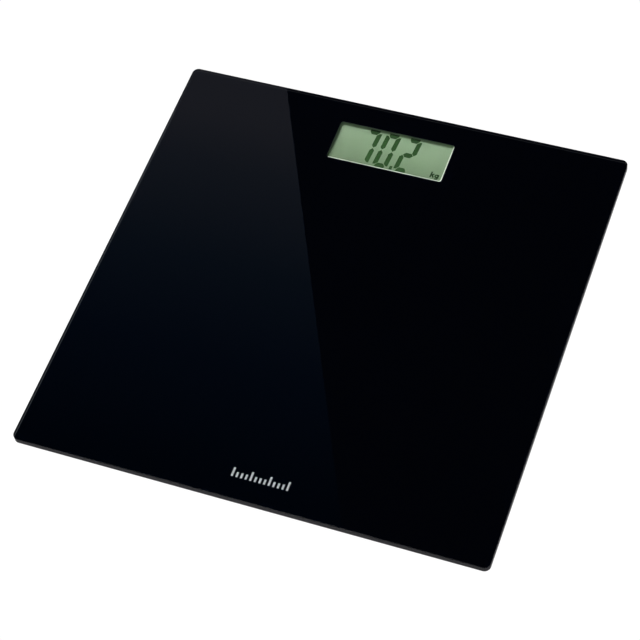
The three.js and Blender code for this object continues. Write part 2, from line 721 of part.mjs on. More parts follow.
// The upper shell, glued to the platform and open below: roof with the bezel's opening, walls, the coin
// cell's pocket on two crossed ribs, and bosses for the board's and the cover's screws.
function addHousing() {
  const outer = roundedRect(0, boxMidY, 2 * box.halfX, boxDepth, housing.corner);
  const innerShape = roundedRect(
    0,
    boxMidY,
    2 * innerHalfX,
    boxDepth - 2 * housing.wall,
    housing.corner - housing.wall,
  );
  const wallUnder = z.coverTop + SEAT;
  const shell = cut(
    solid(slab(outer, wallUnder, z.roofTop)),
    slab(innerShape, wallUnder - PAST, z.roofUnder),
  );
  const bosses = [];
  const holes = [];
  const addBosses = (places, bossRadius, screwRadius, under) =>
    places.forEach(([, x, y]) => {
      bosses.push(post(x, y, bossRadius, under, z.roofUnder + WELD));
      holes.push(post(x, y, screwRadius + SEAT, under - PAST, z.roofUnder - SEAT, 16));
    });
  addBosses(coverScrewAt, coverScrew.bossRadius, coverScrew.radius, wellHeights().top + SEAT);
  addBosses(boardScrewAt, boardBoss.radius, boardScrew.radius, z.boardTop + SEAT);

  const rim = z.doorTop + SEAT;
  const cupTop = z.pocketCeiling + pocket.ceiling;
  const cup = cut(
    solid(post(coinMid.x, coinMid.y, pocketOuter, rim, cupTop, 40)),
    post(coinMid.x, coinMid.y, pocketRadius, rim - PAST, z.pocketCeiling, 40),
  );
  const rib = pocket.rib / 2;
  const ribTop = z.roofUnder + WELD;
  const ribs = [
    block(-pocketOuter, pocketOuter, coinMid.y - rib, coinMid.y + rib, cupTop - WELD, ribTop),
    block(-rib, rib, coinMid.y - pocketOuter, coinMid.y + pocketOuter, cupTop - WELD, ribTop),
  ];
  const slotHalf = contact.width / 2 + PLAY;
  const slotTo = pocketOuter + PAST;
  const slots = [
    block(0, slotTo, coinMid.y - slotHalf, coinMid.y + slotHalf, rim - PAST, z.pocketCeiling),
    block(-slotTo, 0, coinMid.y - slotHalf, coinMid.y + slotHalf, z.coinTop, z.pocketCeiling),
  ];

  const through = aroundView(bezelHalf.x + PLAY, bezelHalf.y + PLAY, 2);
  const leadWays = feet.map(leadWayThroughWall);
  const body = weld(shell, ...bosses, ...ribs).add(cut(cup, ...slots));
  const tray = cut(body, slab(through, z.roofUnder - PAST, z.roofTop + PAST), ...holes, ...leadWays);
  add("display_housing", tray, materials.housingPlastic);

  const inset = tape.inset;
  const ring = withHole(
    roundedRect(0, boxMidY, 2 * (box.halfX - inset), boxDepth - 2 * inset, housing.corner - inset),
    aroundView(bezelHalf.x + RUN, bezelHalf.y + RUN, 2),
  );
  add("housing_tape", slab(ring, z.tapeUnder, z.tapeUnder + tape.thick), materials.foam);
}

// Heights of the sunk screw seats in the cover: the head's top face, and the seat's own top.
function wellHeights() {
  const headTop = z.coverUnder + screwWell.sunk + coverScrew.headThick;
  return { headTop, top: headTop + SEAT + screwWell.floor };
}

// A round rod on the hinge's axis.
function rod(fromX, toX, radius, sides) {
  return new THREE.CylinderGeometry(radius, radius, Math.abs(toX - fromX), sides)
    .rotateZ(Math.PI / 2)
    .translate((fromX + toX) / 2, hingeMid.y, hingeMid.z);
}

// The lower shell: a plate with a lip inside the upper shell's walls, four screw wells, the button's
// hole, and the battery opening with its hinge rib and finger scoop.
function addCover() {
  const plateShape = roundedRect(0, boxMidY, 2 * box.halfX, boxDepth, housing.corner);
  const lipHalfX = innerHalfX - PLAY;
  const lipDepth = boxDepth - 2 * (housing.wall + PLAY);
  const lipCorner = housing.corner - housing.wall;
  const lipShape = withHole(
    roundedRect(0, boxMidY, 2 * lipHalfX, lipDepth, lipCorner),
    roundedRect(0, boxMidY, 2 * (lipHalfX - cover.lip), lipDepth - 2 * cover.lip, lipCorner - cover.lip),
  );
  const well = wellHeights();
  const notchBack = hingeMid.y + hinge.radius + PLAY;
  const ribFront = opening.back;
  const ribBack = notchBack + hingeRib.past;
  const ribHalfX = hinge.lugX + hinge.lugWidth / 2 + hingePin.length + hingeRib.side;
  const ribTop = z.coverTop + hingeRib.rise;
  const body = join(
    slab(plateShape, z.coverUnder, z.coverTop, cover.edge),
    slab(lipShape, z.coverTop - WELD, z.coverTop + cover.lipRise),
    ...coverScrewAt.map(([, x, y]) => post(x, y, wellRadius, z.coverUnder + cover.edge, well.top)),
    block(-ribHalfX, ribHalfX, ribFront, ribBack, z.coverTop - WELD, ribTop),
  );
  const openDepth = opening.back - opening.front;
  const openMid = (opening.front + opening.back) / 2;
  const low = z.coverUnder - PAST;
  const high = ribTop + PAST;
  const lugHalf = hinge.lugWidth / 2 + PLAY;
  const pinReach = hinge.lugX + hinge.lugWidth / 2 + hingePin.length + PLAY;
  const pinHole = rod(-pinReach, pinReach, hingePin.radius + hingePin.play, 16);
  const lugWays = [-1, 1].map((side) =>
    block(
      side * hinge.lugX - lugHalf,
      side * hinge.lugX + lugHalf,
      opening.back - PAST,
      notchBack,
      low,
      high,
    ),
  );
  const shell = cut(
    body,
    slab(roundedRect(0, openMid, 2 * opening.halfX, openDepth, door.corner), low, high),
    ...lugWays,
    pinHole,
    post(tact.x, coinMid.y, button.radius + PLAY, low, high, 28),
    post(0, opening.front, scoop.radius, low, z.coverUnder + scoop.depth, 28),
    ...coverScrewAt.flatMap(([, x, y]) => [
      post(x, y, coverScrew.headRadius + PLAY, low, well.headTop + SEAT),
      post(x, y, coverScrew.radius + PLAY, low, well.top + PAST, 16),
    ]),
  );
  add("housing_cover", shell, materials.housingPlastic);

  coverScrewAt.forEach(([name, x, y]) => {
    const mesh = add(`cover_screw_${name}`, screw(coverScrew, well.headTop), materials.steel);
    mesh.position.set(x, y, 0);
  });
}

// The battery door: a plate that turns on two lugs with side pins at its back edge, and a latch tongue
// between two slots at its front edge. The tongue's hook is drawn pressed in, clear of the cover.
function addDoor() {
  const halfX = opening.halfX - PLAY;
  const front = opening.front + PLAY;
  const back = hingeMid.y - hinge.toOpening - hinge.slit;
  const shape = roundedRect(0, (front + back) / 2, 2 * halfX, back - front, door.corner);
  const lugs = [-1, 1].flatMap((side) => {
    const lugFrom = side * hinge.lugX - hinge.lugWidth / 2;
    const lugTo = side * hinge.lugX + hinge.lugWidth / 2;
    const pinFrom = side * hinge.lugX;
    const pinTo = side * (hinge.lugX + hinge.lugWidth / 2 + hingePin.length);
    const arm = block(lugFrom, lugTo, back - WELD, hingeMid.y, z.coverUnder, z.doorTop);
    return [rod(lugFrom, lugTo, hinge.radius, 20), rod(pinFrom, pinTo, hingePin.radius, 12), arm];
  });
  const slotX = latch.width / 2 + latch.slot / 2;
  const slots = [-1, 1].map((side) =>
    block(
      side * slotX - latch.slot / 2,
      side * slotX + latch.slot / 2,
      front - PAST,
      front + latch.length,
      z.coverUnder - PAST,
      z.doorTop + PAST,
    ),
  );
  const hook = block(
    -latch.width / 2,
    latch.width / 2,
    front,
    front + latch.hookDepth,
    z.doorTop - WELD,
    z.doorTop + latch.hook,
  );
  const leaf = cut(join(slab(shape, z.coverUnder, z.doorTop), ...lugs), ...slots);
  add("battery_door", weld(leaf, hook), materials.doorPlastic);
}

addPlatform();
feet.forEach(addFoot);
feet.forEach(addLead);
addDisplay();
addBoard();
addBattery();
addHousing();
addCover();
addDoor();

export default scale;
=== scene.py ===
# %% [markdown]
# # A glass bathroom scale
# This lesson dresses a finished CAD model of a digital bathroom scale. The CAD model gives every
# piece its place and size; Blender gives it its surface. The CAD nodes stay where they are. Where a
# visible piece needs rounder edges or finer detail than the CAD has, a new piece stands in for it.
# The scale has four kinds of surface: a thick clear pane, black enamel under it, a liquid crystal
# display behind a window in the enamel, and the moulded and metal parts underneath.

# %% Load the CAD model
import math

import bmesh
import bpy
from mathutils import Matrix, Vector


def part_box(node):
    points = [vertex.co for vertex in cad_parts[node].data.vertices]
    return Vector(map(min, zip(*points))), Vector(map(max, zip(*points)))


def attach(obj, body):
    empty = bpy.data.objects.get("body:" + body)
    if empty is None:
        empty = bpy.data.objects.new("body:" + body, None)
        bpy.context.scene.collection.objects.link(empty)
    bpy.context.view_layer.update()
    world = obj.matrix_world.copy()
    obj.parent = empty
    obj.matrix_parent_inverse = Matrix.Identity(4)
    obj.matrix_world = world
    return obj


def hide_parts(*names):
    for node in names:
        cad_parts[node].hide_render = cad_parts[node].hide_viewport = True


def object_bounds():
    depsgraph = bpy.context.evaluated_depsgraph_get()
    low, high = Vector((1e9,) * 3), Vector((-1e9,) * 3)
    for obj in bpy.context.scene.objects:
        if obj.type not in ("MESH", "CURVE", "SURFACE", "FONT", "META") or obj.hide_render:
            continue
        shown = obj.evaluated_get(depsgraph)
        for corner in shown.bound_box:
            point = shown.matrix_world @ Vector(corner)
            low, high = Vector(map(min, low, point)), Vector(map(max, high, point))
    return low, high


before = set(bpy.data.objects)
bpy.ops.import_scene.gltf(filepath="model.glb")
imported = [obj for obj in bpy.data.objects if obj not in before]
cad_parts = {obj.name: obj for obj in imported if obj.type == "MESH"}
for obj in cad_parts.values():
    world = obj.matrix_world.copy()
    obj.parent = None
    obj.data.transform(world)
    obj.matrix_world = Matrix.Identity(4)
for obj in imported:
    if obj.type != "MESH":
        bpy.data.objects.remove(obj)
cad_low, cad_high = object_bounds()
MM = 0.001
CORNERS = ("front_left", "front_right", "back_left", "back_right")
print("CAD box in mm:", [round(v / MM, 2) for v in (*cad_low, *cad_high)])

# %% [markdown]
# ## Camera
# The scale lies on the floor and is seen from above its front right corner with a long lens, so its
# edges stay almost parallel. A camera looks along its own -Z axis, so the rotation is built from two
# directions: where it looks, and which way is up in the picture.

# %% Camera
LENS_MM = 112.7
CAMERA_PLACE = Vector((0.3275, -0.6209, 1.0436))
LOOK = Vector((-0.2654, 0.4899, -0.8304)).normalized()
PICTURE_UP = Vector((-0.2316, 0.8037, 0.5481)).normalized()


def add_camera():
    """A long-lens camera that looks down on the scale."""
    data = bpy.data.cameras.new("long_lens")
    data.lens = LENS_MM
    data.sensor_width = 36
    data.clip_start = 0.02
    data.clip_end = 60
    camera = bpy.data.objects.new("long_lens", data)
    bpy.context.scene.collection.objects.link(camera)
    right = LOOK.cross(PICTURE_UP).normalized()
    up = right.cross(LOOK)
    turn = Matrix((right, up, -LOOK)).transposed()
    camera.matrix_world = Matrix.Translation(CAMERA_PLACE) @ turn.to_4x4()
    bpy.context.scene.camera = camera
    return camera


camera = add_camera()
print("camera at", [round(v, 3) for v in camera.matrix_world.translation])

# %% [markdown]
# ## Building materials
# A material in Blender is a small graph of nodes. These helpers keep the graphs short to write:
# `new_material` starts one with a Principled BSDF, `place` adds a node with its settings, `wire`
# joins two sockets, and `remap` stretches a value's span to another. Numbers that are the same all
# over a surface go straight on the shader's socket.

# %% Material helpers
PLAIN_SOCKETS = {
    "metallic": "Metallic",
    "roughness": "Roughness",
    "coat": "Coat Weight",
    "coat_roughness": "Coat Roughness",
    "specular": "Specular IOR Level",
    "ior": "IOR",
    "transmission": "Transmission Weight",
}


def place(tree, kind, **values):
    """Adds a node and sets its properties, or its inputs where the name is an input's."""
    node = tree.nodes.new(kind)
    for name, value in values.items():
        if name in node.inputs:
            node.inputs[name].default_value = value
        else:
            setattr(node, name, value)
    return node


def wire(tree, source, output, target, name):
    """Joins an output of one node to an input of another."""
    tree.links.new(source.outputs[output], target.inputs[name])


def remap(tree, source, output, start, full, low=0.0, high=1.0, kind="LINEAR"):
    """Turns a value's span from start to full into one from low to high, flat beyond its ends."""
    ramp = place(tree, "ShaderNodeMapRange", interpolation_type=kind)
    spans = {"From Min": start, "From Max": full, "To Min": low, "To Max": high}
    for label, value in spans.items():
        ramp.inputs[label].default_value = value
    wire(tree, source, output, ramp, "Value")
    return ramp


def new_material(name, colour, **plain):
    """A material with a Principled BSDF, its colour, and the sockets that stay plain numbers."""
    material = bpy.data.materials.new(name)
    material.use_nodes = True
    shader = material.node_tree.nodes["Principled BSDF"]
    shader.inputs["Base Color"].default_value = (*colour, 1)
    for key, value in plain.items():
        shader.inputs[PLAIN_SOCKETS[key]].default_value = value
    material.diffuse_color = (*colour, 1)
    return material, material.node_tree, shader


print("plain sockets:", ", ".join(PLAIN_SOCKETS))

# %% [markdown]
# ## Effects that several finishes share
# A real moulding is never one flat tone. It has a fine grain from its tool, soft cloudy patches where
# the plastic flowed, and edges that are rubbed a little lighter. Each of these is one node group with
# named inputs, so that every material can place it with its own values. A group gives out only
# values, masks and heights; the shader stays in the material.

# %% Group: moulded grain
def new_group(name, inputs, outputs):
    """An empty shader node group with float sockets. Inputs are name and default pairs."""
    group = bpy.data.node_groups.new(name, "ShaderNodeTree")
    for label, value in inputs:
        socket = group.interface.new_socket(label, in_out="INPUT", socket_type="NodeSocketFloat")
        socket.default_value = value
    for label in outputs:
        group.interface.new_socket(label, in_out="OUTPUT", socket_type="NodeSocketFloat")
    start = group.nodes.new("NodeGroupInput")
    end = group.nodes.new("NodeGroupOutput")
    return group, start, end


def object_position(tree):
    """Where a point is on the piece, in millimetres."""
    where = place(tree, "ShaderNodeTexCoord")
    scaled = place(tree, "ShaderNodeVectorMath", operation="SCALE")
    scaled.inputs["Scale"].default_value = 1 / MM
    wire(tree, where, "Object", scaled, 0)
    return scaled


PITS_IN_ROUGHNESS = 0.35


def make_moulded_grain():
    """Fine pits and cloudy patches: a height for bump, a patch mask, and a roughness."""
    group, start, end = new_group(
        "Moulded grain",
        [("Pits per mm", 3.0), ("Patches per mm", 0.05), ("Smooth", 0.4), ("Rough", 0.6)],
        ["Height", "Patch", "Roughness"],
    )
    where = object_position(group)
    pits = place(group, "ShaderNodeTexNoise", Detail=4.0, Roughness=0.6)
    patches = place(group, "ShaderNodeTexNoise", Detail=3.0, Roughness=0.5)
    for noise, label in ((pits, "Pits per mm"), (patches, "Patches per mm")):
        wire(group, where, "Vector", noise, "Vector")
        wire(group, start, label, noise, "Scale")
    mix = place(group, "ShaderNodeMath", operation="MULTIPLY_ADD")
    wire(group, pits, "Fac", mix, 0)
    mix.inputs[1].default_value = PITS_IN_ROUGHNESS
    wire(group, patches, "Fac", mix, 2)
    ramp = remap(group, mix, 0, 0.35, 1.0)
    wire(group, start, "Smooth", ramp, "To Min")
    wire(group, start, "Rough", ramp, "To Max")
    wire(group, pits, "Fac", end, "Height")
    wire(group, patches, "Fac", end, "Patch")
    wire(group, ramp, "Result", end, "Roughness")
    return group


def describe_group(group):
    """Prints a group's inputs and outputs."""
    sockets = group.interface.items_tree
    takes = [socket.name for socket in sockets if socket.in_out == "INPUT"]
    gives = [socket.name for socket in sockets if socket.in_out == "OUTPUT"]
    print(f"group {group.name}: takes {', '.join(takes)}; gives {', '.join(gives)}")


GRAIN = make_moulded_grain()
describe_group(GRAIN)

# %% [markdown]
# ### Edge wear
# Handling rubs the corners of a part first. Cycles can give a normal that is rounded over an edge.
# Where that normal leans away from the face's own normal, there is an edge close by, so one minus
# their dot product is an edge mask. A little noise breaks the mask up so that it isn't a drawn line.

# %% Group: edge wear
def make_edge_wear():
    """A mask that is 1 at rubbed edges and 0 on flat faces."""
    group, start, end = new_group(
        "Edge wear",
        [("Width in mm", 0.4), ("Breakup per mm", 1.2), ("Amount", 1.0)],
        ["Edge"],
    )
    metres = place(group, "ShaderNodeMath", operation="MULTIPLY")
    metres.inputs[1].default_value = MM
    wire(group, start, "Width in mm", metres, 0)
    rounded = place(group, "ShaderNodeBevel", samples=4)
    wire(group, metres, 0, rounded, "Radius")
    faces = place(group, "ShaderNodeNewGeometry")
    likeness = place(group, "ShaderNodeVectorMath", operation="DOT_PRODUCT")
    wire(group, rounded, "Normal", likeness, 0)
    wire(group, faces, "Normal", likeness, 1)
    lean = remap(group, likeness, "Value", 0.995, 0.86)
    noise = place(group, "ShaderNodeTexNoise", Detail=3.0)
    wire(group, object_position(group), "Vector", noise, "Vector")
    wire(group, start, "Breakup per mm", noise, "Scale")
    broken = place(group, "ShaderNodeMath", operation="MULTIPLY")
    wire(group, lean, "Result", broken, 0)
    wire(group, noise, "Fac", broken, 1)
    amount = place(group, "ShaderNodeMath", operation="MULTIPLY", use_clamp=True)
    wire(group, broken, 0, amount, 0)
    wire(group, start, "Amount", amount, 1)
    wire(group, amount, 0, end, "Edge")
    return group


EDGE_WEAR = make_edge_wear()
describe_group(EDGE_WEAR)

# %% [markdown]
# ### Drawn lines
# Rolled and stamped steel carries fine lines in one direction. Noise that is squeezed along X and
# stretched along Y looks like them, and feeds both the roughness and a very shallow bump.

# %% Group: drawn lines
def make_drawn_lines():
    """Fine lines along Y: a height and a roughness."""
    group, start, end = new_group(
        "Drawn lines",
        [("Lines per mm", 6.0), ("Smooth", 0.2), ("Rough", 0.4)],
        ["Height", "Roughness"],
    )
    stretch = place(group, "ShaderNodeVectorMath", operation="MULTIPLY")
    stretch.inputs[1].default_value = (1.0, 0.04, 1.0)
    wire(group, object_position(group), "Vector", stretch, 0)
    noise = place(group, "ShaderNodeTexNoise", Detail=5.0, Roughness=0.7)
    wire(group, stretch, "Vector", noise, "Vector")
    wire(group, start, "Lines per mm", noise, "Scale")
    ramp = remap(group, noise, "Fac", 0.3, 0.7)
    wire(group, start, "Smooth", ramp, "To Min")
    wire(group, start, "Rough", ramp, "To Max")
    wire(group, noise, "Fac", end, "Height")
    wire(group, ramp, "Result", end, "Roughness")
    return group


DRAWN_LINES = make_drawn_lines()
describe_group(DRAWN_LINES)

# %% [markdown]
# ## Finishes for the mouldings
# Housing, feet, ducts and button are all moulded, so one function makes their finishes. It lays the
# grain on the roughness and the bump, lightens cloudy patches slightly, and brightens rubbed edges.
# Only the numbers differ: a rubber pad is rougher and coarser than a glossy lead.

# %% Moulded finish
def place_group(tree, group, **values):
    """Adds a node group, with underscores in the names of its values standing for spaces."""
    node = tree.nodes.new("ShaderNodeGroup")
    node.node_tree = group
    for name, value in values.items():
        node.inputs[name.replace("_", " ")].default_value = value
    return node


def blend_colours(tree, low, high):
    """A colour mix with two fixed colours, whose factor is still open."""
    mix = place(tree, "ShaderNodeMix", data_type="RGBA")
    mix.inputs["A"].default_value = (*low, 1)
    mix.inputs["B"].default_value = (*high, 1)
    return mix


def colour_between(tree, shader, source, output, low, high):
    """Feeds the base colour with a blend of two colours, by a mask."""
    blend = blend_colours(tree, low, high)
    wire(tree, source, output, blend, "Factor")
    wire(tree, blend, "Result", shader, "Base Color")


def add_bump(tree, shader, source, output, depth_mm, strength=0.5):
    """Feeds a height into the shader's normal as a shallow bump."""
    bump = place(tree, "ShaderNodeBump", Strength=strength, Distance=depth_mm * MM)
    wire(tree, source, output, bump, "Height")
    wire(tree, bump, "Normal", shader, "Normal")
    return bump


def moulded(name, colour, smooth, rough, pits=3.0, depth_mm=0.03, lift=1.25, worn=2.2, **plain):
    """A moulded plastic or rubber finish with grain, cloudy patches and rubbed edges."""
    material, tree, shader = new_material(name, colour, **plain)
    grain = place_group(tree, GRAIN, Pits_per_mm=pits, Smooth=smooth, Rough=rough)
    wear = place_group(tree, EDGE_WEAR)
    clouds = blend_colours(tree, colour, [min(1, c * lift) for c in colour])
    wire(tree, grain, "Patch", clouds, "Factor")
    rubbed = blend_colours(tree, colour, [min(1, c * worn + 0.004) for c in colour])
    wire(tree, clouds, "Result", rubbed, "A")
    wire(tree, wear, "Edge", rubbed, "Factor")
    wire(tree, rubbed, "Result", shader, "Base Color")
    wire(tree, grain, "Roughness", shader, "Roughness")
    add_bump(tree, shader, grain, "Height", depth_mm)
    return material


print("a moulded finish places the groups", GRAIN.name, "and", EDGE_WEAR.name)

# %% [markdown]
# ### One line for each moulding
# The housing has a spark-eroded texture, so it is rougher than its door. The feet are charcoal ABS,
# and their pads are soft rubber, which is rough and coarse. The leads and the button are smooth PVC
# and satin plastic. The two roughness values are the smooth and the rough end of the grain.

# %% Finishes of the mouldings
housing_finish = moulded("Textured black housing", (0.034, 0.034, 0.037), 0.38, 0.6)
door_finish = moulded("Smooth black door", (0.042, 0.042, 0.046), 0.3, 0.5, pits=5.0, depth_mm=0.015)
foot_finish = moulded("Charcoal foot shell", (0.04, 0.04, 0.044), 0.35, 0.55)
cap_finish = moulded("Charcoal foot cap", (0.055, 0.056, 0.06), 0.4, 0.6)
pad_finish = moulded("Soft rubber pad", (0.1, 0.1, 0.105), 0.75, 0.95, pits=1.6, depth_mm=0.08)
duct_finish = moulded("Extruded cable duct", (0.045, 0.045, 0.048), 0.35, 0.5, pits=2.0)
button_finish = moulded("Grey button", (0.24, 0.25, 0.27), 0.5, 0.7, pits=2.0, worn=1.4)
lead_finish = moulded("White PVC lead", (0.66, 0.66, 0.67), 0.3, 0.45, pits=0.8, lift=1.05, worn=1.1)
foam_finish = moulded("Foam bonding tape", (0.72, 0.71, 0.66), 0.85, 0.98, pits=4.0, depth_mm=0.1)
chip_finish = moulded("Black resin", (0.008, 0.008, 0.009), 0.2, 0.35, pits=0.6)
switch_finish = moulded("Switch body", (0.02, 0.02, 0.022), 0.45, 0.6)
plunger_finish = moulded("Ivory plunger", (0.6, 0.57, 0.5), 0.4, 0.5, lift=1.05, worn=1.1)
zebra_finish = moulded("Layered connector rubber", (0.42, 0.4, 0.37), 0.6, 0.8, lift=1.1, worn=1.1)
gauge_finish = moulded("White silicone coat", (0.8, 0.79, 0.76), 0.35, 0.5, pits=0.5, depth_mm=0.1)
print("moulded finishes:", len(bpy.data.materials))

# %% [markdown]
# ## Metal and circuit board
# The load cells, screws, contacts and coin cell are plated steel with drawn lines. The board is
# green solder mask over glass cloth: its weave shows faintly, so a checker of thin threads goes in
# the bump, and the mask has a clear gloss coat.

# %% Metal and board
def steel(name, colour, smooth, rough, lines=6.0):
    """Plated sheet steel with drawn lines and rubbed edges."""
    material, tree, shader = new_material(name, colour, metallic=1.0)
    drawn = place_group(tree, DRAWN_LINES, Lines_per_mm=lines, Smooth=smooth, Rough=rough)
    wear = place_group(tree, EDGE_WEAR, Width_in_mm=0.2)
    colour_between(tree, shader, wear, "Edge", colour, [min(1, c * 1.25) for c in colour])
    wire(tree, drawn, "Roughness", shader, "Roughness")
    add_bump(tree, shader, drawn, "Height", 0.01, 0.3)
    return material


def board_material():
    """Green solder mask over woven glass cloth."""
    green = (0.012, 0.1, 0.035)
    material, tree, shader = new_material("Green solder mask", green, coat=0.5, coat_roughness=0.1)
    weave = place(tree, "ShaderNodeTexBrick", Scale=1.0)
    weave.inputs["Mortar Size"].default_value = 0.12
    weave.inputs["Brick Width"].default_value = 0.8
    weave.inputs["Row Height"].default_value = 0.5
    wire(tree, object_position(tree), "Vector", weave, "Vector")
    colour_between(tree, shader, weave, "Fac", green, (0.02, 0.15, 0.055))
    grain = place_group(tree, GRAIN, Smooth=0.25, Rough=0.4)
    wire(tree, grain, "Roughness", shader, "Roughness")
    add_bump(tree, shader, weave, "Fac", 0.01, 0.2)
    return material


plated_finish = steel("Nickel plated steel", (0.62, 0.62, 0.61), 0.18, 0.34)
cell_finish = steel("Stamped load cell steel", (0.52, 0.53, 0.54), 0.25, 0.45, lines=4.0)
board_finish = board_material()
print("metal and board:", plated_finish.name, "|", cell_finish.name, "|", board_finish.name)

# %% [markdown]
# ## Dressing the CAD nodes
# Each CAD node keeps its mesh and gets a finish. Three modifiers help it without changing the mesh.
# The faces of a CAD mesh come apart at every edge, so Weld joins them first. Bevel then rounds the
# sharp edges of the mouldings a little, so that they catch light as real moulded edges do. Last, a
# Geometry Nodes modifier shades everything smooth apart from edges sharper than 30 degrees, so that
# round walls look round and flat ones stay flat.

# %% Finishes for the CAD nodes
SHARP_DEGREES = 30
BEVEL_DEGREES = 40
WELD_MM = 0.002


def make_smoother():
    """A Geometry Nodes group that shades faces smooth, apart from sharp edges."""
    group = bpy.data.node_groups.new("Smooth below an angle", "GeometryNodeTree")
    group.interface.new_socket("Mesh", in_out="INPUT", socket_type="NodeSocketGeometry")
    group.interface.new_socket("Mesh", in_out="OUTPUT", socket_type="NodeSocketGeometry")
    start = group.nodes.new("NodeGroupInput")
    end = group.nodes.new("NodeGroupOutput")
    normals = place(group, "GeometryNodeSetMeshNormal", mode="SHARPNESS")
    normals.inputs["Remove Custom"].default_value = True
    angle = group.nodes.new("GeometryNodeInputMeshEdgeAngle")
    above = place(group, "ShaderNodeMath", operation="GREATER_THAN")
    above.inputs[1].default_value = math.radians(SHARP_DEGREES)
    wire(group, start, "Mesh", normals, "Mesh")
    wire(group, angle, "Unsigned Angle", above, 0)
    wire(group, above, 0, normals, "Edge Sharpness")
    wire(group, normals, "Mesh", end, "Mesh")
    return group


SMOOTHER = make_smoother()


def soften(piece, width_mm=0.0):
    """Joins a piece's faces, rounds its edges by a width, and shades its round walls smooth."""
    weld = piece.modifiers.new("Joined faces", "WELD")
    weld.merge_threshold = WELD_MM * MM
    if width_mm:
        bevel = piece.modifiers.new("Soft edges", "BEVEL")
        bevel.width = width_mm * MM
        bevel.segments = 2
        bevel.limit_method = "ANGLE"
        bevel.angle_limit = math.radians(BEVEL_DEGREES)
    smooth = piece.modifiers.new("Smooth walls", "NODES")
    smooth.node_group = SMOOTHER


def dress(node, finish, width_mm=0.0):
    """Gives a CAD node its finish and its softened edges."""
    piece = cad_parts[node]
    piece.data.materials.clear()
    piece.data.materials.append(finish)
    soften(piece, width_mm)


print("smoother:", SMOOTHER.name, "with edges sharp above", SHARP_DEGREES, "degrees")

# %% [markdown]
# ### Which node gets which finish
# Two tables pair the CAD nodes with their finishes: one for nodes that exist once, and one for those
# that come once per corner. A third table says which mouldings get rounded edges, and how wide in
# millimetres. Stamped and rolled parts stay sharp, as they are when real.

# %% Which node gets which finish
SINGLE_NODES = {
    "display_housing": housing_finish,
    "housing_tape": foam_finish,
    "circuit_board": board_finish,
    "chip_blob": chip_finish,
    "tact_switch": switch_finish,
    "tact_plunger": plunger_finish,
    "zebra_strip": zebra_finish,
    "coin_cell": plated_finish,
    "battery_contact_positive": plated_finish,
    "battery_contact_negative": plated_finish,
    "housing_cover": housing_finish,
    "battery_door": door_finish,
    "unit_button": button_finish,
}
CORNER_NODES = {
    "foot_tape": foam_finish,
    "load_cell": cell_finish,
    "strain_gauge": gauge_finish,
    "sensor_lead": lead_finish,
    "lead_duct": duct_finish,
    "board_screw": plated_finish,
    "cover_screw": plated_finish,
}
SOFT_EDGES = {
    "display_housing": 0.3,
    "housing_cover": 0.3,
    "battery_door": 0.15,
    "lead_duct": 0.25,
}
for node, finish in SINGLE_NODES.items():
    dress(node, finish, SOFT_EDGES.get(node, 0.0))
for stem, finish in CORNER_NODES.items():
    for corner in CORNERS:
        dress(f"{stem}_{corner}", finish, SOFT_EDGES.get(stem, 0.0))
print("dressed", len(SINGLE_NODES) + 4 * len(CORNER_NODES), "CAD nodes")

# %% [markdown]
# ## Mesh helpers
# The visible pieces are built from rings of points. A ring is a closed row of points, and joining each
# ring to the next gives a wall. A pane, a frame and a foot pad are all rows of rings, so the same few
# helpers build them all. Sizes are in millimetres here and become metres when the vertices are made.

# %% Mesh helpers
CORNER_STEPS = 12


def rounded_ring(mid, half_x, half_y, radius, height, steps=CORNER_STEPS):
    """A closed row of points round a rectangle with round corners, anticlockwise from above."""
    points = []
    for quarter, (sx, sy) in enumerate(((1, -1), (1, 1), (-1, 1), (-1, -1))):
        centre_x = mid[0] + sx * (half_x - radius)
        centre_y = mid[1] + sy * (half_y - radius)
        for step in range(steps + 1):
            turn = math.radians(-90 + 90 * quarter + 90 * step / steps)
            x = centre_x + radius * math.cos(turn)
            y = centre_y + radius * math.sin(turn)
            points.append((x, y, height))
    return points


def round_ring(mid, radius, height, steps=72):
    """A closed row of points round a circle, anticlockwise from above."""
    turns = [2 * math.pi * step / steps for step in range(steps)]
    return [(mid[0] + radius * math.cos(t), mid[1] + radius * math.sin(t), height) for t in turns]


def make_rows(bm, rings):
    """Vertices for some rings that are given in millimetres."""
    return [[bm.verts.new(Vector(point) * MM) for point in ring] for ring in rings]


def add_ring_faces(bm, outer, inner, slot=0):
    """Fills the band between two rows of points with faces of one material slot."""
    for i in range(len(outer)):
        j = (i + 1) % len(outer)
        face = bm.faces.new((outer[i], inner[i], inner[j], outer[j]))
        face.material_index = slot


def finish_mesh(name, bm):
    """Turns a bmesh into an object in the scene with its faces pointing out."""
    bmesh.ops.recalc_face_normals(bm, faces=bm.faces)
    mesh = bpy.data.meshes.new(name)
    bm.to_mesh(mesh)
    bm.free()
    piece = bpy.data.objects.new(name, mesh)
    bpy.context.scene.collection.objects.link(piece)
    return piece


def box_mm(node):
    """A CAD node's lowest and highest corners in millimetres."""
    low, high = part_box(node)
    return Vector(low) / MM, Vector(high) / MM


print("a round corner has", CORNER_STEPS + 1, "points")

# %% [markdown]
# ## The pane
# The platform is one sheet of toughened glass. Its edge is polished flat, with a small slope, called
# an arris, at the top and bottom so that it doesn't chip. The rings below go up the edge: bottom
# arris, straight wall, top arris. The black print is enamel fired onto the glass, so it belongs to
# the pane's lower face. The face inside the window stays clear, and so does a thin border.

# %% Pane sizes
pane_low, pane_high = box_mm("glass_platform")
PANE_HALF = pane_high.x
PANE_CORNER = 4.0
ARRIS = 0.4
WINDOW_MID = (0.0, 119.35)
WINDOW_HALF = (39.1, 15.25)
WINDOW_CORNER = 1.6
ENAMEL_MARGIN = 0.35
CLEAR, ENAMEL, EDGE = 0, 1, 2
print("pane", round(2 * PANE_HALF, 1), "mm wide,", round(pane_high.z - pane_low.z, 1), "mm thick")

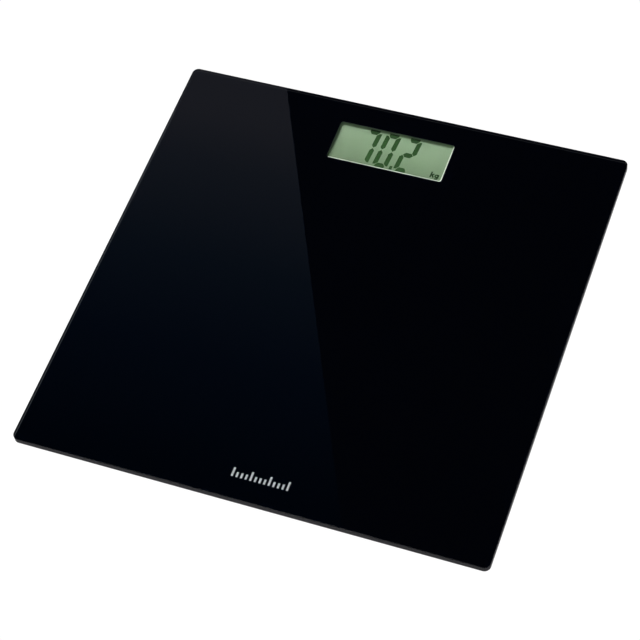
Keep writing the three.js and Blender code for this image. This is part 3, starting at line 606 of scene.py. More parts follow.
# %% [markdown]
# ### The pane's mesh
# Faces of one mesh can have different materials. Each face holds the number of a material slot, so
# the clear faces, the enamel and the polished edge are told apart while the mesh is being built.

# %% Pane mesh
def pane_rings():
    """The rings of the pane's edge, from its bottom face up to its top face."""
    wall = PANE_HALF
    inner = PANE_HALF - ARRIS
    heights = [
        (inner, pane_low.z),
        (wall, pane_low.z + ARRIS),
        (wall, pane_high.z - ARRIS),
        (inner, pane_high.z),
    ]
    middle = (0, 0)
    return [
        rounded_ring(middle, half, half, PANE_CORNER - (wall - half), z) for half, z in heights
    ]


def build_pane():
    """The pane: clear faces, a polished edge, and a lower face of enamel with a clear window."""
    bm = bmesh.new()
    rows = make_rows(bm, pane_rings())
    for row, after in zip(rows, rows[1:]):
        add_ring_faces(bm, row, after, EDGE)
    bm.faces.new(rows[-1]).material_index = CLEAR
    half = PANE_HALF - ENAMEL_MARGIN
    rims = [
        rounded_ring((0, 0), half, half, PANE_CORNER - ENAMEL_MARGIN, pane_low.z),
        rounded_ring(WINDOW_MID, *WINDOW_HALF, WINDOW_CORNER, pane_low.z),
    ]
    border, window = make_rows(bm, rims)
    add_ring_faces(bm, rows[0], border, CLEAR)
    add_ring_faces(bm, border, window, ENAMEL)
    bm.faces.new(window).material_index = CLEAR
    return finish_mesh("toughened_pane", bm)


pane = build_pane()
print("pane faces:", len(pane.data.polygons))

# %% [markdown]
# ### Glass, enamel and polished edge
# Clear glass is a Principled BSDF with Transmission Weight 1 and an IOR of 1.52. Real glass is never
# quite clean: a faint haze of handling marks varies its roughness by a hundredth or two, which shows
# only where a highlight passes. The enamel is seen from inside the glass, so it has no gloss of its
# own: it is a very deep blue black. The edge is glass too, with a little haze left from its polishing.
# The pane throws no shadow, so that light passes through it to the display below.

# %% Glass finishes
MARKS_FROM, MARKS_FULL = 0.45, 0.75


def glass_material(name, rough_low, rough_high, marks_per_mm):
    """Clear glass whose roughness wanders a little with handling marks."""
    tint = (0.94, 0.97, 0.96)
    material, tree, shader = new_material(name, tint, transmission=1.0, ior=1.52)
    noise = place(tree, "ShaderNodeTexNoise", Scale=marks_per_mm, Detail=4.0, Distortion=0.6)
    wire(tree, object_position(tree), "Vector", noise, "Vector")
    marks = remap(tree, noise, "Fac", MARKS_FROM, MARKS_FULL, rough_low, rough_high)
    wire(tree, marks, "Result", shader, "Roughness")
    return material


def enamel_material():
    """Black enamel seen through the glass, with a faint mottle from firing."""
    deep = (0.0002, 0.0004, 0.0014)
    material, tree, shader = new_material("Fired black enamel", deep, roughness=0.8, specular=0.0)
    grain = place_group(tree, GRAIN, Pits_per_mm=0.8, Patches_per_mm=0.02)
    colour_between(tree, shader, grain, "Patch", deep, (0.0004, 0.0007, 0.002))
    return material


PANE_FINISHES = {
    CLEAR: glass_material("Clear toughened glass", 0.0, 0.012, 0.03),
    EDGE: glass_material("Polished glass edge", 0.02, 0.12, 1.5),
    ENAMEL: enamel_material(),
}
for slot in (CLEAR, ENAMEL, EDGE):
    pane.data.materials.append(PANE_FINISHES[slot])
pane.visible_shadow = False
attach(pane, "platform")
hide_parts("glass_platform")
print("pane finishes:", ", ".join(m.name for m in pane.data.materials))

# %% [markdown]
# ## The print's back
# Seen from below, the enamel is a smooth dark sheet with its window cut out. It is built as a thin
# closed slab with a hole: an outer wall, an inner wall, and the two flat faces between them. A slab
# with a hole is a section that goes round in a closed loop, and so is the display's frame later on.

# %% Printed sheet
def closed_section(name, rings):
    """A closed loop of rings, the last joined to the first again."""
    bm = bmesh.new()
    rows = make_rows(bm, rings)
    for row, after in zip(rows, rows[1:] + rows[:1]):
        add_ring_faces(bm, row, after)
    return finish_mesh(name, bm)


def holed_slab(name, outer, inner):
    """A closed slab with a hole. Each side is a pair of rings, bottom then top."""
    return closed_section(name, [outer[0], outer[1], inner[1], inner[0]])


def build_print():
    """The printed sheet under the glass."""
    low, high = box_mm("printed_backing")
    half = high.x
    corner = PANE_CORNER - (PANE_HALF - half)
    outer = [rounded_ring((0, 0), half, half, corner, z) for z in (low.z, high.z)]
    inner = [rounded_ring(WINDOW_MID, *WINDOW_HALF, WINDOW_CORNER, z) for z in (low.z, high.z)]
    return holed_slab("print_back", outer, inner)


print_finish = moulded("Print seen from below", (0.012, 0.012, 0.016), 0.25, 0.4, pits=1.0)
print_back = build_print()
print_back.data.materials.append(print_finish)
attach(print_back, "platform")
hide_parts("printed_backing")
print("window in the print:", 2 * WINDOW_HALF[0], "by", 2 * WINDOW_HALF[1], "mm")

# %% [markdown]
# ### The mark
# Near the front edge the pane carries a small white mark. Here it is a plain row of graduation
# ticks, every fourth one long. Screen ink lies under the glass, so each tick is a thin plate just
# inside the lower face, which the camera sees through the pane.

# %% Tick mark
TICK_COUNT = 13
TICK_PITCH = 2.9
TICK_WIDTH = 1.3
TICK_GROUP = 4
MARK_MID = (4.6, -131.6)
TALL, SHORT = 6.0, 3.4
INK_DEPTH = 0.02


def build_ticks():
    """A row of graduation ticks that stand on one line, just inside the glass's lower face."""
    bm = bmesh.new()
    for number in range(TICK_COUNT):
        x = MARK_MID[0] + (number - (TICK_COUNT - 1) / 2) * TICK_PITCH
        tall = TALL if number % TICK_GROUP == 0 else SHORT
        foot = MARK_MID[1] - TALL / 2
        corners = [
            (x - TICK_WIDTH / 2, foot),
            (x + TICK_WIDTH / 2, foot),
            (x + TICK_WIDTH / 2, foot + tall),
            (x - TICK_WIDTH / 2, foot + tall),
        ]
        levels = (pane_low.z + INK_DEPTH, pane_low.z + 2 * INK_DEPTH)
        under, over = make_rows(bm, [[(*corner, z) for corner in corners] for z in levels])
        add_ring_faces(bm, under, over)
        bm.faces.new(under)
        bm.faces.new(over)
    return finish_mesh("graduation_mark", bm)


def ink_material():
    """Opaque white ink, slightly uneven as screen printing is."""
    white = (0.85, 0.86, 0.87)
    material, tree, shader = new_material("White screen ink", white, roughness=0.6, specular=0.0)
    grain = place_group(tree, GRAIN, Pits_per_mm=6.0, Patches_per_mm=0.6)
    colour_between(tree, shader, grain, "Patch", white, (0.7, 0.71, 0.72))
    return material


ticks = build_ticks()
ticks.data.materials.append(ink_material())
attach(ticks, "platform")
print("graduation ticks:", TICK_COUNT)

# %% [markdown]
# ## The display frame
# Behind the window sits a white moulded frame that holds the display. Its inner walls slope like the
# sides of a picture mount. Such a frame is pushed in by hand, so its opening sits a little off the
# window's middle: the near and right walls show as fine light lines, and the far and left ones are
# hidden behind the window's edge. In section the frame has eight corners, so it is built from eight
# rings that are joined in a closed loop.

# %% Display frame
OPENING_MID = (-1.3, 121.2)
OPENING_HALF = (39.2, 15.2)
FRAME_FLARE = 0.3
FLANGE_THICK = 1.3
FLANGE_REACH = 2
FLANGE_CORNER, WALL_CORNER, NEST_CORNER = 1, 2, 0.5
OPENING_CORNER = 0.96
PANEL_GAP = 0.1
NEST_PLAY = 0.25


def build_display_frame():
    """The frame round the display, as rings that go round its section."""
    low, high = box_mm("display_bezel")
    lcd_low, lcd_high = box_mm("lcd_panel")
    half_x, half_y = high.x, (high.y - low.y) / 2
    flange_top = low.z + FLANGE_THICK
    seat = lcd_high.z + PANEL_GAP
    wall_x, wall_y = half_x - FLANGE_REACH, half_y - FLANGE_REACH
    flare_x, flare_y = WINDOW_HALF[0] + FRAME_FLARE, WINDOW_HALF[1] + FRAME_FLARE
    nest_x = lcd_high.x + NEST_PLAY
    nest_y = (lcd_high.y - lcd_low.y) / 2 + NEST_PLAY
    rings = [
        rounded_ring(WINDOW_MID, half_x, half_y, FLANGE_CORNER, low.z),
        rounded_ring(WINDOW_MID, half_x, half_y, FLANGE_CORNER, flange_top),
        rounded_ring(WINDOW_MID, wall_x, wall_y, WALL_CORNER, flange_top),
        rounded_ring(WINDOW_MID, wall_x, wall_y, WALL_CORNER, high.z),
        rounded_ring(WINDOW_MID, flare_x, flare_y, WINDOW_CORNER + FRAME_FLARE, high.z),
        rounded_ring(OPENING_MID, *OPENING_HALF, OPENING_CORNER, seat),
        rounded_ring(WINDOW_MID, nest_x, nest_y, NEST_CORNER, seat),
        rounded_ring(WINDOW_MID, nest_x, nest_y, NEST_CORNER, low.z),
    ]
    return closed_section("display_frame", rings)


frame_finish = moulded(
    "White frame", (0.6, 0.64, 0.56), 0.35, 0.5, pits=1.5, lift=1.08, worn=1.1
)
display_frame = build_display_frame()
display_frame.data.materials.append(frame_finish)
soften(display_frame)
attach(display_frame, "platform")
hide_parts("display_bezel")
print("opening in the frame:", 2 * OPENING_HALF[0], "by", 2 * OPENING_HALF[1], "mm")

# %% [markdown]
# ## The display
# A liquid crystal display is a sandwich: a glossy front glass over a grey green reflector. Unlit
# segments are clear, and lit ones are dark. A soft noise varies the reflector's tone a little, and a
# slow gradient paints light and shade across the panel. The gradient is measured along a direction
# with a dot product: painted shade at the near left, and painted light at the far right.

# %% Display panel
# Painted shade at one end and painted light at the other: the panel's tone runs between these two
# colours along a slow gradient.
PANEL_SHADED, PANEL_LIT = (0.111, 0.178, 0.084), (0.279, 0.399, 0.239)
PAINTED_LIGHT_ALONG = (0.125, 1.0, 0.0)
PAINTED_LIGHT_FROM = WINDOW_MID[1] - 1.2 * WINDOW_HALF[1]
PAINTED_LIGHT_TO = WINDOW_MID[1] + 1.4 * WINDOW_HALF[1]
CLOUDS_IN_TONE = 0.2


def panel_material():
    """Grey green reflector under a thin gloss front."""
    material, tree, shader = new_material(
        "Grey green display", PANEL_LIT, coat=0.35, coat_roughness=0.05, specular=0.2
    )
    where = object_position(tree)
    # Painted light: a slow gradient along one direction paints shade at the near left of the panel and
    # light at the far right.
    slope = place(tree, "ShaderNodeVectorMath", operation="DOT_PRODUCT")
    slope.inputs[1].default_value = PAINTED_LIGHT_ALONG
    wire(tree, where, "Vector", slope, 0)
    painted_light_ramp = remap(tree, slope, "Value", PAINTED_LIGHT_FROM, PAINTED_LIGHT_TO)
    grain = place_group(tree, GRAIN, Pits_per_mm=8.0, Patches_per_mm=0.06, Smooth=0.45, Rough=0.55)
    soft = place(tree, "ShaderNodeMath", operation="MULTIPLY_ADD", use_clamp=True)
    wire(tree, grain, "Patch", soft, 0)
    soft.inputs[1].default_value = CLOUDS_IN_TONE
    wire(tree, painted_light_ramp, "Result", soft, 2)
    colour_between(tree, shader, soft, 0, PANEL_SHADED, PANEL_LIT)
    wire(tree, grain, "Roughness", shader, "Roughness")
    add_bump(tree, shader, grain, "Height", 0.004, 0.3)
    return material


dress("lcd_panel", panel_material())
print("display tone drifts from", PANEL_SHADED, "to", PANEL_LIT)

# %% [markdown]
# ## Digits and unit
# Each digit has seven segments: three that lie across and four that stand. Their ends are cut so
# that neighbours meet in a thin diagonal gap, and the whole digit leans a few degrees. One function
# gives a segment's outline from its two ends. How far its two long sides stop short of the ends
# makes the difference: a middle bar is pointed, and an outer bar keeps its outer side long. The bars
# that lie across are a little thicker than the segments that stand, as they are on real panels.

# %% Segment outlines
DIGIT_WIDTH = 7.15
DIGIT_HEIGHT = 24.9
DIGIT_FOOT = 107.85
DIGIT_LEAN = math.tan(math.radians(4))
SEGMENT_HALF = 1.55
BAR_HALF = 1.85
SEGMENT_GAP = 0.25
SEGMENT_ENDS = {
    "a": ((0, 1), (1, 1)),
    "b": ((1, 1), (1, 0.5)),
    "c": ((1, 0.5), (1, 0)),
    "d": ((1, 0), (0, 0)),
    "e": ((0, 0), (0, 0.5)),
    "f": ((0, 0.5), (0, 1)),
    "g": ((0, 0.5), (1, 0.5)),
}


def segment_outline(name, width, height):
    """Corners of a segment. Seen along it, its left side is the digit's outer side."""
    (x0, y0), (x1, y1) = SEGMENT_ENDS[name]
    start = Vector((x0 * width, y0 * height))
    end = Vector((x1 * width, y1 * height))
    along = (end - start).normalized()
    outward = Vector((-along.y, along.x))
    lies_across = y0 == y1
    own_half = BAR_HALF if lies_across else SEGMENT_HALF
    next_half = SEGMENT_HALF if lies_across else BAR_HALF
    corners = []
    for tip, inward in ((start, along), (end, -along)):
        at_corner = tip.y < height * 0.1 or tip.y > height * 0.9
        outer_stop = SEGMENT_GAP if at_corner and name != "g" else next_half
        point = [
            tip + inward * outer_stop + outward * own_half,
            tip + inward * (SEGMENT_GAP + 0.5 * outer_stop * at_corner),
            tip + inward * (SEGMENT_GAP + next_half) - outward * own_half,
        ]
        corners += point if inward == along else point[::-1]
    return corners


print("corners of a middle bar:", len(segment_outline("g", DIGIT_WIDTH, DIGIT_HEIGHT)))

# %% [markdown]
# ### From outlines to digits
# A lit segment is dark where the liquid crystal turns the light away. Each one becomes a thin plate
# just above the reflector. The outlines are laid out upright and then leaned together, so that the
# gaps between segments stay even. The plates are real geometry, so their edges stay crisp close up.

# %% Segment digits
SEGMENT_THICK = 0.05
LIT = {"7": "abc", "0": "abcdef", "2": "abged"}
DIGITS_AT = {"7": -20.6, "0": -7.45, "2": 7.0}
POINT_AFTER = 4.0
POINT_HALF = (0.95, 1.45)


def leaning(x, y):
    """Where a point of the display goes when everything on it leans."""
    return (x + (y - DIGIT_FOOT) * DIGIT_LEAN, y)


def add_plate(bm, outline, low, high):
    """A thin flat plate with a given outline, between two heights."""
    under, over = make_rows(bm, [[(*leaning(x, y), z) for x, y in outline] for z in (low, high)])
    add_ring_faces(bm, over, under)
    bm.faces.new(list(reversed(under)))
    bm.faces.new(over)


def build_digits(name, low, high):
    """All lit segments and the decimal point, between two heights."""
    bm = bmesh.new()
    for digit, left in DIGITS_AT.items():
        for segment in LIT[digit]:
            outline = segment_outline(segment, DIGIT_WIDTH, DIGIT_HEIGHT)
            add_plate(bm, [(left + p.x, DIGIT_FOOT + p.y) for p in outline], low, high)
    point_x = DIGITS_AT["0"] + DIGIT_WIDTH + POINT_AFTER
    half_x, half_y = POINT_HALF
    corners = [(-half_x, -half_y), (half_x, -half_y), (half_x, half_y), (-half_x, half_y)]
    add_plate(bm, [(point_x + x, DIGIT_FOOT + y) for x, y in corners], low, high)
    return finish_mesh(name, bm)


def ink_green(name, deep, thin):
    """Very dark green, slightly uneven between a deep tone and a thin one."""
    material, tree, shader = new_material(name, deep, roughness=0.5, specular=0.0)
    grain = place_group(tree, GRAIN, Pits_per_mm=5.0, Patches_per_mm=0.3)
    colour_between(tree, shader, grain, "Patch", deep, thin)
    return material


INK_GAP = 0.01
SEGMENT_LOW = box_mm("lcd_panel")[1].z + INK_GAP
segment_finish = ink_green("Lit segment", (0.027, 0.07, 0.02), (0.038, 0.09, 0.029))
digits = build_digits("lit_segments", SEGMENT_LOW, SEGMENT_LOW + SEGMENT_THICK)
digits.data.materials.append(segment_finish)
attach(digits, "platform")
print("lit segments:", sum(len(LIT[d]) for d in DIGITS_AT))

# %% [markdown]
# ### The unit
# The unit is a pair of small letters, drawn on the real panel with a pen of one width. A font's
# letters are too thin at this size, and fill up when they are made bolder, so each letter is a few
# strokes instead. A stroke is a row of points with some width to either side.

# %% Unit letters
PEN_HALF = 0.47
BOWL_MID = Vector((34.5, 109.15))
BOWL_HALF = Vector((0.95, 1.0))
BOWL_TURNS = range(20, 341, 20)


def stroke(points):
    """The outline of a pen stroke along a row of points."""
    left, right = [], []
    for i, point in enumerate(points):
        before, after = points[max(i - 1, 0)], points[min(i + 1, len(points) - 1)]
        along = (Vector(after) - Vector(before)).normalized()
        side = Vector((-along.y, along.x)) * PEN_HALF
        left.append(Vector(point) + side)
        right.append(Vector(point) - side)
    return left + right[::-1]


def bowl():
    """The round part of the g, open towards its stem."""
    turns = [math.radians(turn) for turn in BOWL_TURNS]
    return [BOWL_MID + BOWL_HALF * Vector((math.cos(t), math.sin(t))) for t in turns]


LETTER_STROKES = {
    "k": [
        [(30.6, 107.5), (30.6, 112.1)],
        [(30.8, 109.0), (32.5, 110.6)],
        [(31.5, 109.5), (32.7, 107.5)],
    ],
    "g": [
        bowl(),
        [(35.5, 110.5), (35.5, 107.9), (35.3, 107.2), (34.7, 106.85), (33.8, 107.0)],
    ],
}


def build_letter(letter, low, high):
    """One letter as thin plates that lean as the digits do."""
    bm = bmesh.new()
    for points in LETTER_STROKES[letter]:
        add_plate(bm, stroke(points), low, high)
    return finish_mesh(f"unit_letter_{letter}", bm)


print("the bowl of the g has", len(bowl()), "points")

# %% [markdown]
# ### The letters in place
# The letters are printed on the panel and not lit, so their ink is a little darker than a segment.

# %% Unit pieces
letter_finish = ink_green("Printed unit", (0.012, 0.038, 0.01), (0.018, 0.048, 0.014))
for letter in LETTER_STROKES:
    piece = build_letter(letter, SEGMENT_LOW, SEGMENT_LOW + SEGMENT_THICK)
    piece.data.materials.append(letter_finish)
    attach(piece, "platform")
    print("letter", letter, "from", len(LETTER_STROKES[letter]), "strokes")

# %% [markdown]
# ## The feet
# Each foot is a pair of round mouldings: a shell glued to the pane, and a cap that slides up into it
# and presses on the load cell. Both keep their CAD shape and get soft edges. A rubber pad is pressed
# into the cap, and it has ring grooves that the CAD pad lacks, so a new piece stands in for it. It is
# a turned shape: round rings along its outline, with short steps at the rounded rim.

# %% Turned pieces
HUB_RADIUS = 0.02


def turned(name, mid, outline):
    """A closed turned piece from its outline of (radius, height) pairs, from axis to axis."""
    bm = bmesh.new()
    rows = make_rows(bm, [round_ring(mid, max(r, HUB_RADIUS), z) for r, z in outline])
    for row, after in zip(rows, rows[1:]):
        add_ring_faces(bm, row, after)
    bm.faces.new(rows[0])
    bm.faces.new(rows[-1])
    return finish_mesh(name, bm)


def fillet(corner, start_turn, radius, steps=4):
    """Points of a quarter round with its centre at corner, from one turn in degrees to the next."""
    turns = [math.radians(start_turn + 90 * step / steps) for step in range(steps + 1)]
    return [(corner[0] + radius * math.cos(t), corner[1] + radius * math.sin(t)) for t in turns]


def foot_mid(corner):
    """The middle of a foot, seen from above."""
    low, high = box_mm(f"foot_pad_{corner}")
    return ((low.x + high.x) / 2, (low.y + high.y) / 2)


print("the front left foot stands at", foot_mid("front_left"))

# %% [markdown]
# ### Pads, caps and shells
# The pad's underside has four ring grooves, which let it grip a wet floor. Each groove is a shallow
# trapezium in the outline, so the rings that go round it dip and come back. The pad rides on its own
# foot, because the foot can slide up under a load.

# %% Pads, caps and shells
PAD_GROOVES = (4.0, 7.0, 10.0, 13.0)
RIM_ROUND = 0.6
GROOVE_HALF = 0.45
GROOVE_FLOOR = 0.27
GROOVE_DEPTH = 0.35
SHELL_EDGE = 0.35


def pad_outline(low, high):
    """The pad's outline with ring grooves in its underside and a rounded rim."""
    radius = (high.x - low.x) / 2
    points = [(0, low.z)]
    for groove in PAD_GROOVES:
        points += [
            (groove - GROOVE_HALF, low.z),
            (groove - GROOVE_FLOOR, low.z + GROOVE_DEPTH),
            (groove + GROOVE_FLOOR, low.z + GROOVE_DEPTH),
            (groove + GROOVE_HALF, low.z),
        ]
    points += fillet((radius - RIM_ROUND, low.z + RIM_ROUND), -90, RIM_ROUND)
    points += [(radius, high.z), (0, high.z)]
    return points


for corner in CORNERS:
    low, high = box_mm(f"foot_pad_{corner}")
    pad = turned(f"grip_pad_{corner}", foot_mid(corner), pad_outline(low, high))
    pad.data.materials.append(pad_finish)
    soften(pad)
    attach(pad, f"foot_{corner}")
    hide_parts(f"foot_pad_{corner}")
    for stem, finish in (("foot_cap", cap_finish), ("foot_base", foot_finish)):
        dress(f"{stem}_{corner}", finish, SHELL_EDGE)
print("pads with", len(PAD_GROOVES), "grooves each")

# %% [markdown]
# ## The table
# The scale stands on a table that is pure white to the camera. Black glass is a mirror, so what it
# mirrors of the table is another matter: the table is dark there but for a strip in front and a
# dimmer one on the right, which draw the thin grey lines along the edges, and a square below the
# scale, which the feet and housings mirror. Soft glows for diffuse rays light the sides and the
# underside. A square's border is where the larger of the two distances from the middle is constant.

# %% What mirrors see of the table
FRONT_STRIP = 0.28
RIGHT_STRIP = 0.22
STRIP_FROM, STRIP_FULL = 0.125, 0.15
SHELTERED = 0.45
SQUARE_FROM, SQUARE_FULL = 0.148, 0.13


def smooth_rise(tree, source, output, start, full, strength):
    """Nothing up to one value of the source, full strength from another, smooth in between."""
    return remap(tree, source, output, start, full, 0.0, strength, "SMOOTHSTEP")


def larger(tree, first, second):
    """The larger value of two nodes' first outputs."""
    most = place(tree, "ShaderNodeMath", operation="MAXIMUM")
    wire(tree, first, 0, most, 0)
    wire(tree, second, 0, most, 1)
    return most


def sheltered_glow(tree, axes):
    """What glossy parts under the scale mirror: a square of table right below it."""
    distances = []
    for axis in "XY":
        distances.append(place(tree, "ShaderNodeMath", operation="ABSOLUTE"))
        wire(tree, axes, axis, distances[-1], 0)
    apart = larger(tree, *distances)
    return smooth_rise(tree, apart, 0, SQUARE_FROM, SQUARE_FULL, SHELTERED)


def mirrored_glow(tree, axes):
    """Everything that mirrors see of the table: two strips and the square."""
    front = smooth_rise(tree, axes, "Y", -STRIP_FROM, -STRIP_FULL, FRONT_STRIP)
    right = smooth_rise(tree, axes, "X", STRIP_FROM, STRIP_FULL, RIGHT_STRIP)
    return larger(tree, larger(tree, front, right), sheltered_glow(tree, axes))


print("mirrors see strips from", STRIP_FROM, "m off the middle")

# %% [markdown]
# ### One floor, several answers
# The Light Path node tells a material what kind of ray has reached it. Each kind gets its own glow
# here: white for the camera, an even glow for diffuse rays, a faint one for rays that have come
# through the glass, and the strips for mirrors. A Mix Shader picks between two answers, and a chain
# of them sorts out all the kinds. From below, the floor is clear, so that a camera down there sees
# the scale's underside.

# %% Floor material
TABLE_GLOW = 1.0
UNDER_GLOW = 0.06
FAR_SHARE = 0.2
FADE_FROM, FADE_TO = 0.11, 0.14
OVER_WHITE = 1.02


def blank_material(name):
    """A material with an empty tree, its tree, and the tree's output node."""
    material = bpy.data.materials.new(name)
    material.use_nodes = True
    material.node_tree.nodes.clear()
    return material, material.node_tree, place(material.node_tree, "ShaderNodeOutputMaterial")


def pick(tree, chooser, output, otherwise, when_true):
    """One of two shaders, by a yes or no from the chooser."""
    mix = place(tree, "ShaderNodeMixShader")
    wire(tree, chooser, output, mix, 0)
    wire(tree, otherwise, 0, mix, 1)
    wire(tree, when_true, 0, mix, 2)
    return mix


def glow_through_glass(tree, axes):
    """What shows through clear glass: a faint glow, fainter at the far end."""
    faint = UNDER_GLOW * FAR_SHARE
    return remap(tree, axes, "Y", FADE_FROM, FADE_TO, UNDER_GLOW, faint, "SMOOTHSTEP")


def floor_material():
    """White to the camera from above, strips to mirrors, a glow to the rest, nothing from below."""
    material, tree, end = blank_material("White table")
    seen = place(tree, "ShaderNodeEmission", Color=(1, 1, 1, 1), Strength=OVER_WHITE)
    mirrored = place(tree, "ShaderNodeEmission", Color=(0.97, 0.95, 1, 1))
    glow = place(tree, "ShaderNodeEmission", Color=(0.96, 0.97, 1, 1), Strength=TABLE_GLOW)
    under = place(tree, "ShaderNodeEmission", Color=(0.9, 0.93, 1, 1))
    through = place(tree, "ShaderNodeBsdfTransparent")
    where = place(tree, "ShaderNodeTexCoord")
    axes = place(tree, "ShaderNodeSeparateXYZ")
    wire(tree, where, "Object", axes, "Vector")
    wire(tree, mirrored_glow(tree, axes), 0, mirrored, "Strength")
    wire(tree, glow_through_glass(tree, axes), "Result", under, "Strength")
    path = place(tree, "ShaderNodeLightPath")
    side = place(tree, "ShaderNodeNewGeometry")
    answer = pick(tree, path, "Is Diffuse Ray", mirrored, glow)
    answer = pick(tree, path, "Is Transmission Ray", answer, under)
    answer = pick(tree, path, "Is Camera Ray", answer, seen)
    answer = pick(tree, side, "Backfacing", answer, through)
    wire(tree, answer, "Shader", end, "Surface")
    return material


table_finish = floor_material()
print("floor material:", len(table_finish.node_tree.nodes), "nodes")

# %% [markdown]
# ### The floor's mesh
# The floor is one large four-sided sheet, a fifth of a millimetre below the feet so that the two
# never share a plane. A face has a front and a back. Here the front has to be on top, because the
# material is clear where it is seen from the back.

# %% Floor
FLOOR_HALF = 12.0
FLOOR_HEIGHT = -0.0002


def sheet(name, corners, finish):
    """A flat sheet with four corners, in metres."""
    bm = bmesh.new()
    bm.faces.new([bm.verts.new(corner) for corner in corners])
    made = finish_mesh(name, bm)
    made.data.materials.append(finish)
    return made


def rectangle(half_x, half_y, z=0.0):
    """The four corners of a rectangle about the middle."""
    return [(-half_x, -half_y, z), (half_x, -half_y, z), (half_x, half_y, z), (-half_x, half_y, z)]


floor = sheet("white_table", rectangle(FLOOR_HALF, FLOOR_HALF, FLOOR_HEIGHT), table_finish)
if floor.data.polygons[0].normal.z < 0:
    floor.data.flip_normals()
print("floor faces up:", floor.data.polygons[0].normal.z > 0)

# %% [markdown]
# ### Lights
# The key light hangs high on the left, a little behind the scale. The edge of the window throws its
# shadow on the display there, as a dark green band along the far and left sides. A weak light fills
# in from the front. Area lights are soft: the larger they are, the softer the shadow's border.

# %% Lights
def add_light(name, place_at, target, width, height, watts):
    """A rectangular soft light that faces a point."""
    data = bpy.data.lights.new(name, "AREA")
    data.shape = "RECTANGLE"
    data.size, data.size_y = width, height
    data.energy = watts
    light = bpy.data.objects.new(name, data)
    bpy.context.scene.collection.objects.link(light)
    light.location = place_at
    facing = Vector(target) - Vector(place_at)
    light.rotation_euler = facing.to_track_quat("-Z", "Y").to_euler()
    return light


key = add_light("left_key", (-1.12, 1.1, 1.6), (0, 0.05, 0.02), 0.34, 0.34, 28.5)
fill = add_light("front_soft", (0.9, -1.5, 2.2), (0, 0, 0.02), 1.6, 1.2, 4.5)
print("key", key.data.energy, "W, fill", fill.data.energy, "W")

# %% [markdown]
# ### Room
# The room above is almost black, so that the glass has dark reflections. For diffuse rays it glows
# softly instead, which lights the sides, and it is white where the camera looks straight at it. The
# Standard view transform keeps white as white; the default one would turn it grey.

# %% Room
ROOM_GLOW = 0.6


def light_room():
    """A dark blue room, with a soft glow for diffuse rays and white for the camera."""
    world = bpy.data.worlds.new("Dark studio")
    world.use_nodes = True
    tree = world.node_tree
    tree.nodes.clear()
    end = place(tree, "ShaderNodeOutputWorld")
    dim = place(tree, "ShaderNodeBackground", Color=(0.35, 0.5, 1.0, 1), Strength=0.02)
    soft = place(tree, "ShaderNodeBackground", Color=(0.95, 0.97, 1.0, 1), Strength=ROOM_GLOW)
    white = place(tree, "ShaderNodeBackground", Color=(1, 1, 1, 1), Strength=OVER_WHITE)
    path = place(tree, "ShaderNodeLightPath")
    answer = pick(tree, path, "Is Diffuse Ray", dim, soft)
    answer = pick(tree, path, "Is Camera Ray", answer, white)
    wire(tree, answer, "Shader", end, "Surface")
    bpy.context.scene.world = world


light_room()
bpy.context.scene.view_settings.view_transform = "Standard"
print("the room is the world", bpy.context.scene.world.name)

# %% [markdown]
# ### The mirrored card
# Black glass is a mirror, so its tone is whatever stands opposite. A large dim card hangs high behind
# the left of the scale. Its straight right edge mirrors as a diagonal across the plate, and it fades
# from warm grey at its far end to nothing at its near end. To hang it, the camera is mirrored in the
# glass, and rays from there through points of the plate are followed up to the card's height.

# %% Where the card hangs
CARD_HEIGHT = 1.05
FAR_POINT = (-82, 147)
NEAR_POINT = (60, -145)
CARD_LEFT = -175
CARD_FAR, CARD_NEAR = 170, -160


def mirrored_on_card(x, y):
    """Where a point of the plate, in millimetres, mirrors on the card's level, in metres."""
    top = cad_high.z
    mirrored = Vector((CAMERA_PLACE.x, CAMERA_PLACE.y, 2 * top - CAMERA_PLACE.z))
    point = Vector((x * MM, y * MM, top))
    reach = (CARD_HEIGHT - mirrored.z) / (point.z - mirrored.z)
    return mirrored + (point - mirrored) * reach


def on_edge(y):
    """The plate's x, in millimetres, where the card's edge mirrors at a given y."""
    share = (y - NEAR_POINT[1]) / (FAR_POINT[1] - NEAR_POINT[1])
    return NEAR_POINT[0] + share * (FAR_POINT[0] - NEAR_POINT[0])


card_corners = [
    mirrored_on_card(CARD_LEFT, CARD_NEAR),
    mirrored_on_card(on_edge(CARD_NEAR), CARD_NEAR),
    mirrored_on_card(on_edge(CARD_FAR), CARD_FAR),
    mirrored_on_card(CARD_LEFT, CARD_FAR),
]
print("card's far right corner, in metres:", [round(v, 2) for v in card_corners[2]])

# %% [markdown]
# ### The card's glow
# A colour ramp turns the place along the card into its tone, so each stretch can have its own. The
# card is hidden from every ray but the mirrored ones, which is a setting of the object.

# %% Mirrored card
CARD_TONES = [
    (0.05, (0.002, 0.012, 0.03)),
    (0.3, (0.014, 0.035, 0.075)),
    (0.5, (0.045, 0.075, 0.125)),
    (0.72, (0.115, 0.14, 0.195)),
    (0.84, (0.19, 0.2, 0.255)),
]


def card_material(near, far):
    """A dim glow that falls off smoothly towards the card's near end."""
    material, tree, end = blank_material("Dim card")
    glow = place(tree, "ShaderNodeEmission", Strength=1.0)
    where = place(tree, "ShaderNodeTexCoord")
    axes = place(tree, "ShaderNodeSeparateXYZ")
    wire(tree, where, "Object", axes, "Vector")
    fade = remap(tree, axes, "Y", near, far)
    ramp = place(tree, "ShaderNodeValToRGB")
    band = ramp.color_ramp.elements
    while len(band) < len(CARD_TONES):
        band.new(0.5)
    for mark, (at, colour) in zip(band, CARD_TONES):
        mark.position = at
        mark.color = (*colour, 1)
    wire(tree, fade, "Result", ramp, "Fac")
    wire(tree, ramp, "Color", glow, "Color")
    wire(tree, glow, "Emission", end, "Surface")
    return material


def only_in_mirrors(card):
    """Hide a card from every kind of ray except mirrored ones."""
    card.visible_camera = False
    card.visible_diffuse = False
    card.visible_shadow = False
    card.visible_transmission = False


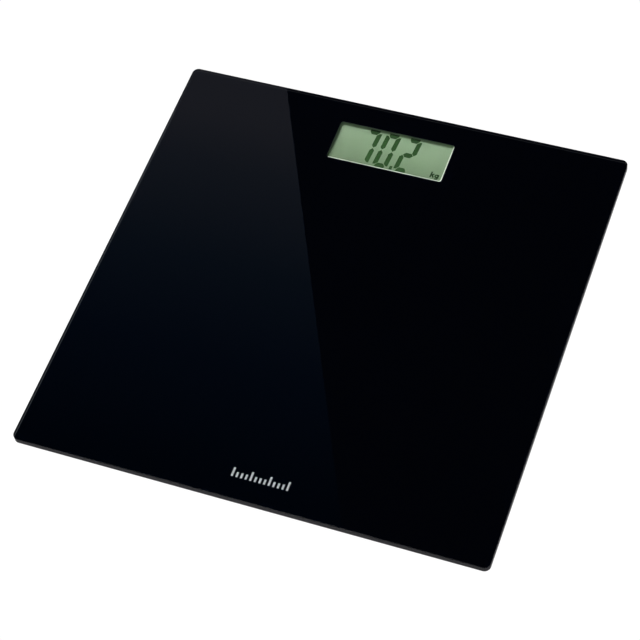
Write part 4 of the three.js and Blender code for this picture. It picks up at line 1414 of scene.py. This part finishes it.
card = sheet("dim_card", card_corners, card_material(card_corners[0].y, card_corners[3].y))
only_in_mirrors(card)
print("card hangs", CARD_HEIGHT, "m above the floor")

# %% [markdown]
# ### Cards for the edges
# The small slope along the top of the glass edge mirrors neither floor nor plate: it looks out
# sideways. A soft oval card stands where the front slope looks, and another where the right one
# looks. Only mirrored rays see them, so they light nothing; they draw one fine light line each.

# %% Oval glow
EDGE_CARD_WIDE = 1.5
EDGE_CARD_TALL = 0.95
EDGE_GLOW = 1.3
OVAL_RIM, OVAL_CORE = 1.0, 0.35


def oval_glow():
    """A glow that is brightest in the middle of a sheet and fades out in an oval."""
    material, tree, end = blank_material("Soft oval card")
    glow = place(tree, "ShaderNodeEmission", Color=(0.97, 0.98, 1, 1))
    where = place(tree, "ShaderNodeTexCoord")
    shares = place(tree, "ShaderNodeVectorMath", operation="MULTIPLY")
    shares.inputs[1].default_value = (2 / EDGE_CARD_WIDE, 2 / EDGE_CARD_TALL, 1)
    wire(tree, where, "Object", shares, 0)
    reach = place(tree, "ShaderNodeVectorMath", operation="LENGTH")
    wire(tree, shares, "Vector", reach, 0)
    fade = smooth_rise(tree, reach, "Value", OVAL_RIM, OVAL_CORE, EDGE_GLOW)
    wire(tree, fade, "Result", glow, "Strength")
    wire(tree, glow, "Emission", end, "Surface")
    return material


oval_finish = oval_glow()
print("the oval is full up to", OVAL_CORE, "of its reach")

# %% [markdown]
# ### The edge cards in place
# Each card is a standing sheet. Its rotation is made from the direction to the scale's middle, with
# the sheet's own -Z axis along it and its Y axis up, in the same way as for a light.

# %% Edge cards
EDGE_CARDS = {"front_card": (-0.8, -2.5, 1.47), "right_card": (2.5, 1.47, 0.8)}
for name, middle in EDGE_CARDS.items():
    card = sheet(name, rectangle(EDGE_CARD_WIDE / 2, EDGE_CARD_TALL / 2), oval_finish)
    card.location = middle
    card.rotation_euler = (-Vector(middle)).to_track_quat("-Z", "Y").to_euler()
    only_in_mirrors(card)
print("edge cards:", ", ".join(EDGE_CARDS))
